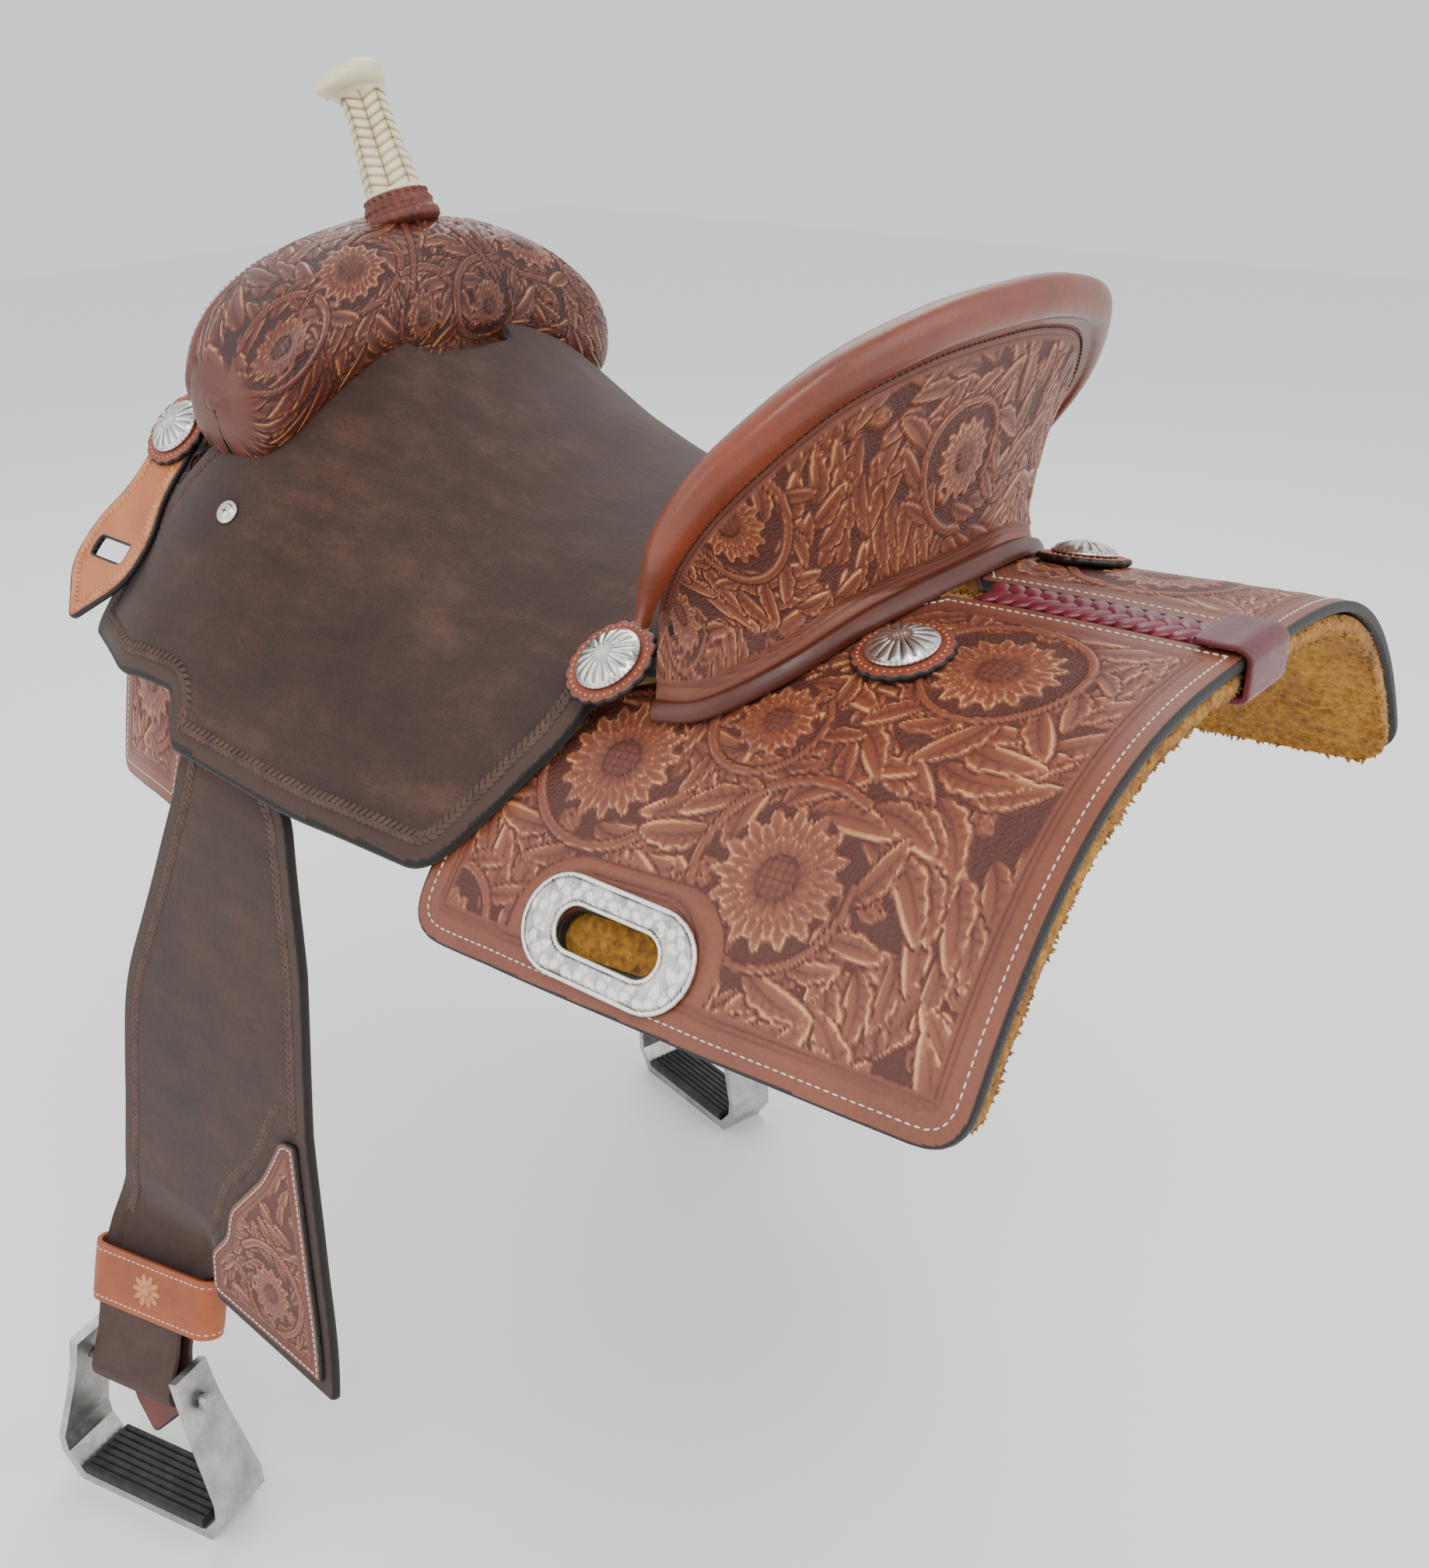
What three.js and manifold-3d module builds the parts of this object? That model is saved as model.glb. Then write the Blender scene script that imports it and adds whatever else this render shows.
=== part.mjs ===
// Western saddle: tree, leather, skirts, rigging plates, and two swinging fender and stirrup chains.
// Millimetres. +X is the near (left) side, -Y the front, +Z up. The saddle is symmetric about X = 0.
// The origin is under the gullet channel, in the middle of the part that rests on the horse's back.
import * as THREE from 'three';
import { mergeVertices } from 'three/addons/utils/BufferGeometryUtils.js';
import Module from 'manifold-3d';

const wasm = await Module();
wasm.setup();

// ---------------------------------------------------------------- driving dimensions
const GAP = 0.5;               // clearance between touching pieces

// The back: the top face of the skirts, by stations along Y.
// y, height on the centre line, drop to the lower edge, half width at the lower edge, fullness of the curve
const BACK = [
  [-325, 85, 256, 197, 4.2],
  [-250, 74, 232, 221, 3.9],
  [-150, 46, 196, 238, 3.4],
  [-50, 22, 165, 250, 2.9],
  [60, 8, 144, 258, 2.6],
  [240, 19, 150, 258, 2.9],
  [378, 22, 145, 258, 3.4],
];
const SKIRT_THICK = 6;
const TREE_LIFT = 2;           // from the skirts to the tree
const BAR_THICK = 15;
const FLEECE_GAP = 1.5;
const FLEECE_THICK = 12;
const SKIRT_FRONT = -325;
const SKIRT_REAR = 378;
const CUT_REAR = 40;           // the skirt is cut away between these two, under the jockey
const CUT_FRONT = -205;
const LACING_START = 226;
const LACING_HALF = 15;
const LACING_THICK = 3.5;
const LOOP_WIDTH = 44;

// The seat: its top face, by stations along Y, in the same terms as the back.
const SEAT = [
  [-300, 75, 147, 220, 2.6],
  [-240, 104, 170, 235, 2.5],
  [-190, 120, 214, 250, 2.3],
  [-110, 78, 184, 254, 2.15],
  [-30, 46, 158, 254, 2.2],
  [60, 34, 150, 250, 2.35],
  [130, 40, 150, 250, 2.35],
  [240, 60, 150, 250, 2.4],
];
const SEAT_THICK = 5;
const SEAT_STEP = 32;          // spacing of the grid that follows the seat
const SEAT_LIFT = 1.5;         // from the tree to the seat leather
const GROUND_THICK = 15;

// The cantle rim lies in a plane that leans back. Its outline is given in that plane: x, distance up the plane.
const RIM_FOOT_Y = 137;
const RIM_FOOT_Z = 38;
const RIM_LEAN = 54 * Math.PI / 180;
const RIM = [[157, -20], [171, 12], [178, 42], [175, 70], [160, 96], [122, 130], [62, 148], [0, 152]];
const RIM_TALL = 152;
const RIM_HALF = 178;
const DISH_DEPTH = 44;
const DISH_FRONT = 15;         // how far the seat's face stands in front of the rim plane
const DISH_MID = 50;           // the lowest point of the dish, up the rim plane
const ROLL_R = 15;
const BACK_COVER = 4;
const RIM_INSIDE = 16;         // from the rim to the edge of the seat leather, seen from above
const CANTLE_FOOT = [[153, 125, 16], [148, 156, 21], [118, 185, 27], [62, 200, 27], [0, 204, 24]];

// The fork: stations along X: x, y of the middle, half depth, top, bottom
const FORK = [
  [0, -222, 50, 180, 84],
  [60, -222, 53, 170, 84],
  [90, -221, 54, 159, 76],
  [115, -220, 52, 146, 64],
  [133, -218, 47, 133, 54],
  [147, -216, 38, 119, 52],
  [156, -214, 26, 106, 66],
  [160, -213, 10, 95, 82],
];
const FORK_COVER = 5;
const GULLET_HALF = 58;
const GULLET_TOP = 114;

// The horn leans forward from its base to its top.
const HORN_BASE = new THREE.Vector3(0, -217, 182);
const HORN_TOP = new THREE.Vector3(0, -250, 268);
const HORN_CORE_R = 11;

// Conchos, and how far each stands off the surface that it is placed on.
const CONCHO_R = 19;
const KEEPER_LIFT = 10;
const MIDDLE_LIFT = 8;
const REAR_LIFT = 1;
const ROSETTE_R = 27;
const ROSETTE_THICK = 4;
const FRONT_CONCHO = [137, -284];    // across the back, and y
const MIDDLE_CONCHO = [153, 104];    // x and y, on the seat leather
const REAR_CONCHO = [92, 236];      // across the back, and y

// Stirrup chain
const BOLT = new THREE.Vector3(314, -243, -585);     // stirrup bolt
const CHAIN_YAW = 13 * Math.PI / 180;
const CHAIN_LEAN = 18 * Math.PI / 180;
const FENDER_THICK = 6;
const LEATHER_THICK = 4;
const STRAP_GAP = 1.5;
const PATCH_GAP = 2;
const PATCH_THICK = 2;
const FENDER_LINE = [           // height, and how far out the fender stands there
  [-600, 318], [-483, 287], [-400, 276], [-317, 266], [-213, 251], [-117, 238], [-90, 228], [-60, 211], [-22, 190],
];
const BOLT_R = 4;
const ROLLER_R = 7.5;
const LOOP_HALF = 37;         // half the width of the strap round the roller
const LOOP_TOP = 88;
const LOOP_GAP = 0.8;
const TAIL_THICK = 3;
const HOBBLE_HALF = 53;        // half the hobble strap's length round the strap, its height and its wall
const HOBBLE_TALL = 44;
const HOBBLE_WALL = 3.5;
const HOBBLE_FOOT = 50;        // from the bolt up to the hobble strap
const TREAD_LEN = 114;
const TREAD_DEPTH = 46;
const TREAD_Z = -97;           // top of the tread, below the bolt
const STIRRUP_DEPTH = 44;

const saddle = new THREE.Group();

// ---------------------------------------------------------------- materials
const LOOKS = {
  tooled: [0x8a4a34, 0.55, 0],
  roughout: [0x4a3028, 0.9, 0],
  roll: [0xa8522a, 0.45, 0],
  keeper: [0xbc7648, 0.6, 0],
  fleece: [0xc08c28, 0.95, 0],
  lacing: [0x8a1c34, 0.5, 0],
  rawhide: [0xdccfa8, 0.5, 0],
  wood: [0x9a7448, 0.8, 0],
  steel: [0x8c8c8c, 0.4, 1],
  silver: [0xd8d8d4, 0.25, 1],
  aluminium: [0xa8a8a4, 0.35, 1],
  rubber: [0x1c1c1e, 0.8, 0],
};

function look(name) {
  const [color, roughness, metalness] = LOOKS[name];
  return new THREE.MeshStandardMaterial({ color, roughness, metalness });
}

function add(name, geometry, lookName, parent = saddle) {
  const mesh = new THREE.Mesh(geometry, look(lookName));
  mesh.name = name;
  parent.add(mesh);
  return mesh;
}

// ---------------------------------------------------------------- solids
// Only positions, with shared corners merged.
function welded(geometry) {
  const g = geometry.clone();
  g.deleteAttribute('normal');
  g.deleteAttribute('uv');
  return mergeVertices(g, 1e-3);
}

function toSolid(geometry) {
  const merged = welded(geometry);
  return new wasm.Manifold(new wasm.Mesh({
    numProp: 3,
    vertProperties: new Float32Array(merged.attributes.position.array),
    triVerts: new Uint32Array(merged.index.array),
  }));
}

function toGeometry(solid) {
  const mesh = solid.getMesh();
  const g = new THREE.BufferGeometry();
  g.setAttribute('position', new THREE.BufferAttribute(new Float32Array(mesh.vertProperties), 3));
  g.setIndex(new THREE.BufferAttribute(new Uint32Array(mesh.triVerts), 1));
  return g;
}

function largest(solid) {
  return solid.decompose().reduce((a, b) => (a.volume() > b.volume() ? a : b));
}

function meshFrom(points, faces) {
  const g = new THREE.BufferGeometry();
  g.setAttribute('position', new THREE.Float32BufferAttribute(points.flat(), 3));
  g.setIndex(faces.flat());
  return outward(g);
}

// Turns the faces over where the solid was built, or mirrored, inside out.
function outward(g) {
  const p = g.attributes.position;
  const idx = g.index.array;
  const a = new THREE.Vector3();
  const b = new THREE.Vector3();
  const c = new THREE.Vector3();
  let volume = 0;
  for (let i = 0; i < idx.length; i += 3) {
    a.fromBufferAttribute(p, idx[i]);
    b.fromBufferAttribute(p, idx[i + 1]);
    c.fromBufferAttribute(p, idx[i + 2]);
    volume += a.dot(b.cross(c));
  }
  if (volume < 0) {
    for (let i = 0; i < idx.length; i += 3) {
      [idx[i + 1], idx[i + 2]] = [idx[i + 2], idx[i + 1]];
    }
  }
  return g;
}

function mirrored(geometry) {
  const g = geometry.clone();
  g.scale(-1, 1, 1);
  return outward(g);
}

// A closed solid through rings of points, capped at both ends.
function loft(rings) {
  const n = rings[0].length;
  const points = rings.flat();
  const faces = [];
  for (let r = 0; r + 1 < rings.length; r += 1) {
    for (let i = 0; i < n; i += 1) {
      const j = (i + 1) % n;
      const a = r * n;
      faces.push([a + i, a + j, a + n + j], [a + i, a + n + j, a + n + i]);
    }
  }
  const last = (rings.length - 1) * n;
  for (const [start, flip] of [[0, true], [last, false]]) {
    const ring = rings[start / n];
    const mid = [0, 1, 2].map((k) => ring.reduce((sum, q) => sum + q[k], 0) / n);
    points.push(mid);
    const m = points.length - 1;
    for (let i = 0; i < n; i += 1) {
      const j = (i + 1) % n;
      faces.push(flip ? [m, start + j, start + i] : [m, start + i, start + j]);
    }
  }
  return meshFrom(points, faces);
}

// An outline with rounded corners: points are [u, v, corner radius].
function outline(points) {
  const path = new THREE.Shape();
  const n = points.length;
  for (let i = 0; i < n; i += 1) {
    const [u, v, r = 0] = points[i];
    const before = new THREE.Vector2(...points[(i + n - 1) % n].slice(0, 2));
    const after = new THREE.Vector2(...points[(i + 1) % n].slice(0, 2));
    const here = new THREE.Vector2(u, v);
    const start = before.sub(here).setLength(r).add(here);
    const end = after.sub(here).setLength(r).add(here);
    if (i === 0) path.moveTo(start.x, start.y);
    else path.lineTo(start.x, start.y);
    if (r > 0) path.quadraticCurveTo(u, v, end.x, end.y);
  }
  path.closePath();
  return path;
}

// Turns an extrusion so that its outline's axes become Y and Z and its depth lies across X.
function acrossX(g, depth) {
  const p = g.attributes.position;
  for (let i = 0; i < p.count; i += 1) {
    p.setXYZ(i, p.getZ(i) - depth / 2, p.getX(i), p.getY(i));
  }
  return welded(g);
}

// A slab between two grids of points; both of its faces are split along the same diagonals.
// A slight bow keeps the grid's points through a cut, which would merge flat faces.
function gridSlab(box, step, stepV, bow) {
  const across = Math.round((box.max.x - box.min.x) / step) + 1;
  const tall = Math.round((box.max.y - box.min.y) / stepV) + 1;
  const count = across * tall;
  const points = [];
  const faces = [];
  for (const z of [-0.5, 0.5]) {
    for (let k = 0; k < count; k += 1) {
      const u = box.min.x + (k % across) * step;
      const v = box.min.y + Math.floor(k / across) * stepV;
      points.push([u, v, z + bow(u, v)]);
    }
  }
  const wall = (a, b) => faces.push([a, b, b + count], [a, b + count, a + count]);
  for (let j = 0; j + 1 < tall; j += 1) {
    for (let i = 0; i + 1 < across; i += 1) {
      const a = j * across + i;
      const c = a + across;
      faces.push([a, c + 1, a + 1], [a, c, c + 1]);
      faces.push([a + count, a + 1 + count, c + 1 + count], [a + count, c + 1 + count, c + count]);
    }
    wall((j + 1) * across, j * across);
    wall(j * across + across - 1, (j + 1) * across + across - 1);
  }
  for (let i = 0; i + 1 < across; i += 1) {
    wall(i, i + 1);
    wall((tall - 1) * across + i + 1, (tall - 1) * across + i);
  }
  return meshFrom(points, faces);
}

// A flat sheet cut to an outline over a grid, then carried by place(u, v, w) with w from 0 (inner) to 1 (outer).
function sheet(shape, step, place, stepV = step) {
  const box = new THREE.Box2().setFromPoints(shape.getPoints(5));
  // The grid's lines lie on whole steps, so that sheets on one surface share them.
  box.min.set(Math.floor((box.min.x - 1) / step) * step, Math.floor((box.min.y - 1) / stepV) * stepV);
  box.max.set(Math.ceil((box.max.x + 1) / step) * step, Math.ceil((box.max.y + 1) / stepV) * stepV);
  const bow = (u, v) => 2e-4 * (u * u + v * v);
  const slab = gridSlab(box, step, stepV, bow);
  const cutter = new THREE.ExtrudeGeometry(shape, { depth: 400, bevelEnabled: false, curveSegments: 5 });
  cutter.translate(0, 0, -2);
  const g = toGeometry(toSolid(slab).intersect(toSolid(cutter)));
  const p = g.attributes.position;
  for (let i = 0; i < p.count; i += 1) {
    const u = p.getX(i);
    const v = p.getY(i);
    const [x, y, z] = place(u, v, p.getZ(i) - bow(u, v) > 0 ? 1 : 0);
    p.setXYZ(i, x, y, z);
  }
  return outward(g);
}

// ---------------------------------------------------------------- curved faces of the saddle
function smoothstep(t) {
  const k = Math.min(Math.max(t, 0), 1);
  return k * k * (3 - 2 * k);
}

// Values of a station table at y, passing smoothly through every station.
function station(table, y) {
  const last = table.length - 1;
  let i = 0;
  while (i < last - 1 && y > table[i + 1][0]) i += 1;
  const before = table[Math.max(i - 1, 0)];
  const from = table[i];
  const to = table[i + 1];
  const after = table[Math.min(i + 2, last)];
  const span = to[0] - from[0];
  const t = (y - from[0]) / span;
  return from.slice(1).map((value, k) => {
    const c = k + 1;
    const m0 = before === from ? (to[c] - value) / span : (to[c] - before[c]) / (to[0] - before[0]);
    const m1 = after === to ? (to[c] - value) / span : (after[c] - value) / (after[0] - from[0]);
    if (t < 0) return value + m0 * t * span;
    if (t > 1) return to[c] + m1 * (t - 1) * span;
    return (2 * t ** 3 - 3 * t * t + 1) * value + (t ** 3 - 2 * t * t + t) * span * m0
      + (3 * t * t - 2 * t ** 3) * to[c] + (t ** 3 - t * t) * span * m1;
  });
}

function backAt(t, y) {
  const [top, drop, half, full] = station(BACK, y);
  return new THREE.Vector3(half * t, y, top - drop * Math.abs(t) ** full);
}

// The share of the half width at a distance along the leather from the centre line.
function shareAt(across, y) {
  const [, drop, half, full] = station(BACK, y);
  const step = 0.01;
  let run = 0;
  let t = 0;
  while (run < across && t < 1.6) {
    const fall = drop * full * Math.max(t + step / 2, 1e-6) ** (full - 1);
    const piece = Math.hypot(half, fall) * step;
    if (run + piece > across) return t + step * (across - run) / piece;
    run += piece;
    t += step;
  }
  return t;
}

// The whole distance along the leather from the centre line to the lower edge.
function acrossAt(y, t = 1) {
  let low = 0;
  let high = 700;
  for (let i = 0; i < 30; i += 1) {
    const mid = (low + high) / 2;
    if (shareAt(mid, y) < t) low = mid;
    else high = mid;
  }
  return (low + high) / 2;
}

// A point on the back, `lift` above the skirts along the normal.
function onBack(across, y, lift) {
  const share = shareAt(across, y);
  const p = backAt(share, y);
  const du = backAt(share + 0.01, y).sub(backAt(share - 0.01, y));
  const dv = backAt(share, y + 2).sub(backAt(share, y - 2));
  const n = du.cross(dv).normalize();
  return [p.x + n.x * lift, p.y + n.y * lift, p.z + n.z * lift];
}

const rimCurve = new THREE.CatmullRomCurve3(
  [...RIM, ...RIM.slice(0, -1).reverse().map(([x, s]) => [-x, s])].map(([x, s]) => new THREE.Vector3(
    x, RIM_FOOT_Y + s * Math.cos(RIM_LEAN), RIM_FOOT_Z + s * Math.sin(RIM_LEAN))));

const footCurve = new THREE.CatmullRomCurve3(
  [...CANTLE_FOOT, ...CANTLE_FOOT.slice(0, -1).reverse().map(([x, y, z]) => [-x, y, z])].map(
    (p) => new THREE.Vector3(...p)));

// Height of the seat's top face. Behind, it rises as a dish to the cantle rim.
function seatHeight(x, y) {
  const [top, drop, half, full] = station(SEAT, y);
  const plain = top - drop * Math.abs(x / half) ** full;
  const up = (y - RIM_FOOT_Y) / Math.cos(RIM_LEAN);
  const tall = up > DISH_MID ? RIM_TALL - DISH_MID : DISH_MID + 12;
  const out = (Math.abs(x / RIM_HALF) ** 2.6 + Math.abs((up - DISH_MID) / tall) ** 2.6) ** (1 / 2.6);
  const plane = RIM_FOOT_Z + up * Math.sin(RIM_LEAN);
  const dish = plane + DISH_FRONT * smoothstep(up / 90) - DISH_DEPTH * (1 - Math.min(out, 1) ** 2) ** 1.6
    - 170 * Math.max(out - 1, 0);
  const soft = 14;
  const gap = (dish - plain) / soft;
  if (gap > 20) return dish;
  if (gap < -20) return plain;
  return plain + soft * Math.log(1 + Math.exp(gap));
}

function onSeat(x, y, lift) {
  const dx = (seatHeight(x + 1, y) - seatHeight(x - 1, y)) / 2;
  const dy = (seatHeight(x, y + 1) - seatHeight(x, y - 1)) / 2;
  const n = new THREE.Vector3(-dx, -dy, 1).normalize();
  return [x + n.x * lift, y + n.y * lift, seatHeight(x, y) + n.z * lift];
}

// ---------------------------------------------------------------- skirts and fleece
function pair(name, geometry, lookName) {
  add(`${name}_near`, geometry, lookName);
  add(`${name}_off`, mirrored(geometry), lookName);
}

function skirtOutline(inset) {
  const low = (y) => acrossAt(y) - inset;
  const rear = SKIRT_REAR - inset;
  const front = SKIRT_FRONT + inset;
  const gap = LACING_HALF + GAP;
  const points = [[gap, LACING_START + 2, 0], [gap, rear, 0], [low(rear), rear, 24]];
  for (const y of [320, 240, 160, 100]) points.push([low(y), y, 0]);
  points.push([low(50), CUT_REAR + inset, 26], [236, CUT_REAR + inset, 12]);
  points.push([236, CUT_FRONT - inset, 12], [low(-225), CUT_FRONT - inset - 8, 12], [low(-270), -270, 0]);
  points.push([low(front), front, 14], [92, front, 20], [66, -150, 0], [50, 0, 0], [50, 190, 10]);
  points.push([gap, 214, 0]);
  return outline(points);
}

const PLATE = { across: 281, y: 171, long: 108, tall: 52, slotLong: 64, slotTall: 22 };

function stadium(long, tall, u, v) {
  const r = tall / 2;
  const half = long / 2 - r;
  const shape = new THREE.Shape();
  shape.absarc(u, v + half, r, 0, Math.PI, false);
  shape.absarc(u, v - half, r, Math.PI, 2 * Math.PI, false);
  shape.closePath();
  return shape;
}

const skirtShape = skirtOutline(0);
skirtShape.holes.push(stadium(PLATE.slotLong, PLATE.slotTall, PLATE.across, PLATE.y));
pair('skirt', sheet(skirtShape, 30, (u, v, w) => onBack(u, v, (w - 1) * SKIRT_THICK), 60), 'tooled');
pair('fleece_lining', sheet(skirtOutline(3), 30, (u, v, w) => onBack(
  u, v, -SKIRT_THICK - FLEECE_GAP - (1 - w) * FLEECE_THICK), 60), 'fleece');
const plateShape = stadium(PLATE.long, PLATE.tall, PLATE.across, PLATE.y);
plateShape.holes.push(stadium(PLATE.slotLong, PLATE.slotTall, PLATE.across, PLATE.y));
pair('rear_rigging_plate', sheet(plateShape, 60, (u, v, w) => {
  const [x0, y0, z0] = onBack(PLATE.across, PLATE.y, 0);
  const [x1, , z1] = onBack(PLATE.across + 10, PLATE.y, 0);
  const [, y2] = onBack(PLATE.across, PLATE.y + 10, 0);
  const down = new THREE.Vector3(x1 - x0, 0, z1 - z0).normalize();
  const du = u - PLATE.across;
  const lift = 1.6 + w * 2.4;
  return [x0 + down.x * du - down.z * lift, y0 + (v - PLATE.y) * (y2 - y0) / 10, z0 + down.z * du + down.x * lift];
}), 'silver');

// ---------------------------------------------------------------- lacing that joins the skirts
// The same point on either side: u is negative on the off side.
function acrossBack(u, v, lift) {
  const [x, y, z] = onBack(Math.abs(u), v, lift);
  return [Math.sign(u) * x, y, z];
}

function lacing() {
  const end = SKIRT_REAR - 8;
  const half = LACING_HALF;
  const shape = outline([[-half, LACING_START, 0], [half, LACING_START, 0], [half, end, 0], [-half, end, 0]]);
  add('rear_lacing', sheet(shape, 15, (u, v, w) => acrossBack(
    u, v, -SKIRT_THICK + w * (SKIRT_THICK + LACING_THICK - 2)), 60), 'lacing');
}

function rearLoop() {
  const mid = backAt(0, SKIRT_REAR);
  const top = mid.z + 1;
  const low = mid.z - SKIRT_THICK - 1 - FLEECE_THICK - 1.5;
  const back = SKIRT_REAR + 1;
  const t = LACING_THICK;
  const front = SKIRT_REAR - 26;
  const side = new THREE.Shape();
  side.moveTo(front, top + 1);
  side.lineTo(front, top + 1 + t);
  side.lineTo(back, top + 1 + t);
  side.quadraticCurveTo(back + t, top + 1 + t, back + t, top - 3);
  side.lineTo(back + t, low + 3);
  side.quadraticCurveTo(back + t, low - t, back, low - t);
  side.lineTo(front, low - t);
  side.lineTo(front, low);
  side.lineTo(back, low);
  side.lineTo(back, top + 1);
  side.closePath();
  const g = new THREE.ExtrudeGeometry(side, { depth: LOOP_WIDTH, bevelEnabled: false, curveSegments: 4 });
  return acrossX(g, LOOP_WIDTH);
}
add('rear_loop', rearLoop(), 'lacing');
lacing();

// ---------------------------------------------------------------- room taken by the neighbours
function block(x0, y0, x1, y1) {
  return outline([[x0, y0, 0], [x1, y0, 0], [x1, y1, 0], [x0, y1, 0]]);
}

// Everything from the seat leather's lower face upwards.
const aboveSeat = toSolid(sheet(block(-200, -270, 200, 240), SEAT_STEP, (u, v, w) => (
  w ? [u, v, 260] : onSeat(u, v, -SEAT_THICK - SEAT_LIFT)), SEAT_STEP));

// Everything from the skirts' upper face downwards.
const belowTree = toSolid(sheet(block(-190, -330, 190, 240), 30, (u, v, w) => (
  w ? acrossBack(u, v, TREE_LIFT) : [u, v, -250]), 60));

// ---------------------------------------------------------------- tree
function treeBar(grow) {
  const shape = outline([[56 - grow, -250 - grow, 12], [150, -250 - grow, 16], [152 + grow, 100, 16],
    [128 + grow, 146, 12], [100, 168 + grow, 12], [56 - grow, 176 + grow, 8]]);
  return toSolid(sheet(shape, 30, (u, v, w) => onBack(
    u, v, TREE_LIFT - grow + w * (BAR_THICK + 2 * grow)), 60));
}
const bar = toGeometry(treeBar(0).subtract(aboveSeat));
pair('tree_bar', bar, 'wood');
const barRoomNear = toGeometry(treeBar(1));
const barRoom = toSolid(barRoomNear).add(toSolid(mirrored(barRoomNear)));

// A piece turned about the horn's axis, from radius and height pairs.
const hornUp = new THREE.Vector3().subVectors(HORN_TOP, HORN_BASE).normalize();

function alongHorn(profile) {
  const g = welded(new THREE.LatheGeometry(profile.map(([r, h]) => new THREE.Vector2(r, h)), 20));
  g.applyQuaternion(new THREE.Quaternion().setFromUnitVectors(new THREE.Vector3(0, 1, 0), hornUp));
  return g.translate(HORN_BASE.x, HORN_BASE.y, HORN_BASE.z);
}

// A rounded section of the fork at a station, drawn in by `inset`.
function forkRing(i, inset, side) {
  const [x, y, deep, top, low] = FORK[i];
  const ring = [];
  const count = 16;
  const mid = (top + low) / 2;
  const tall = Math.max((top - low) / 2 - inset, 1);
  const depth = Math.max(deep - inset, 1);
  const across = side * x * (1 - inset / FORK[FORK.length - 1][0]);
  for (let k = 0; k < count; k += 1) {
    const a = 2 * Math.PI * k / count;
    const c = Math.cos(a);
    const s = Math.sin(a);
    const full = 2 / 2.5;
    ring.push([across, y + depth * Math.sign(c) * Math.abs(c) ** full,
      mid + tall * Math.sign(s) * Math.abs(s) ** full]);
  }
  return ring;
}

function forkBody(inset) {
  const rings = [];
  for (let i = FORK.length - 1; i > 0; i -= 1) rings.push(forkRing(i, inset, -1));
  for (let i = 0; i < FORK.length; i += 1) rings.push(forkRing(i, inset, 1));
  return toSolid(loft(rings));
}

// The arch over the horse's withers, and everything below it.
function gullet(grow) {
  const half = GULLET_HALF + grow;
  const top = GULLET_TOP + grow;
  const arch = new THREE.Shape();
  arch.moveTo(-half, 0);
  arch.lineTo(half, 0);
  arch.lineTo(half, top - 32);
  arch.quadraticCurveTo(half, top, 0, top);
  arch.quadraticCurveTo(-half, top, -half, top - 32);
  arch.closePath();
  const g = new THREE.ExtrudeGeometry(arch, { depth: 300, bevelEnabled: false, curveSegments: 8 });
  g.rotateX(Math.PI / 2);
  g.translate(0, -70, 0);
  return toSolid(g);
}

const hornHole = toSolid(alongHorn([[0, -37], [HORN_CORE_R + 1, -37], [HORN_CORE_R + 1, 90], [0, 90]]));
const forkCore = forkBody(FORK_COVER + 1).subtract(gullet(1)).subtract(belowTree).subtract(barRoom)
  .subtract(hornHole);
add('fork_core', toGeometry(forkCore), 'wood');
const forkCover = forkBody(0).subtract(forkBody(FORK_COVER)).subtract(gullet(-1)).subtract(belowTree)
  .subtract(barRoom).subtract(hornHole);
add('fork_cover', toGeometry(forkCover), 'tooled');

// The plain stitched band round the front of the fork.
function forkBinding() {
  const rings = [];
  for (let i = -6; i <= 6; i += 1) {
    const side = i < 0 ? -1 : 1;
    const outer = forkRing(Math.abs(i), -5, side);
    const inner = forkRing(Math.abs(i), -1, side);
    rings.push([...outer.slice(6, 9), ...inner.slice(6, 9).reverse()]);
  }
  return loft(rings);
}
add('fork_binding', forkBinding(), 'tooled');

// ---------------------------------------------------------------- horn
const hornPost = [[0, -34], [HORN_CORE_R, -34], [HORN_CORE_R, 76], [0, 76]];
add('horn_core', alongHorn(hornPost), 'steel');
const hornInner = HORN_CORE_R + GAP;
const wrapNeck = [[hornInner, 10], [18.5, 10], [15, 45], [14, 72], [21, 78], [24, 84], [22, 91], [0, 91],
  [0, 76.5], [hornInner, 76.5], [hornInner, 10]];
add('horn_wrap', alongHorn(wrapNeck), 'rawhide');
const collar = toSolid(alongHorn([[hornInner, -8], [22, -8], [20.5, 9.5], [hornInner, 9.5], [hornInner, -8]]));
add('horn_collar', toGeometry(collar.subtract(forkBody(-GAP))), 'tooled');

// ---------------------------------------------------------------- seat

// The seat leather's outline, seen from above: the near half, from the notch behind the fork to the cantle.
function seatHalf() {
  const half = [[0, -152, 0], [34, -156, 8], [46, -182, 6], [70, -196, 10], [118, -204, 10], [124, -238, 10]];
  half.push([142, -252, 6], [212, -303, 8], [236, -240, 10]);
  half.push([235, -184, 8], [250, -176, 8], [251, -60, 20], [245, 42, 14], [222, 66, 16], [178, 98, 20]);
  half.push([148, 92, 10]);
  return half;
}

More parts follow.
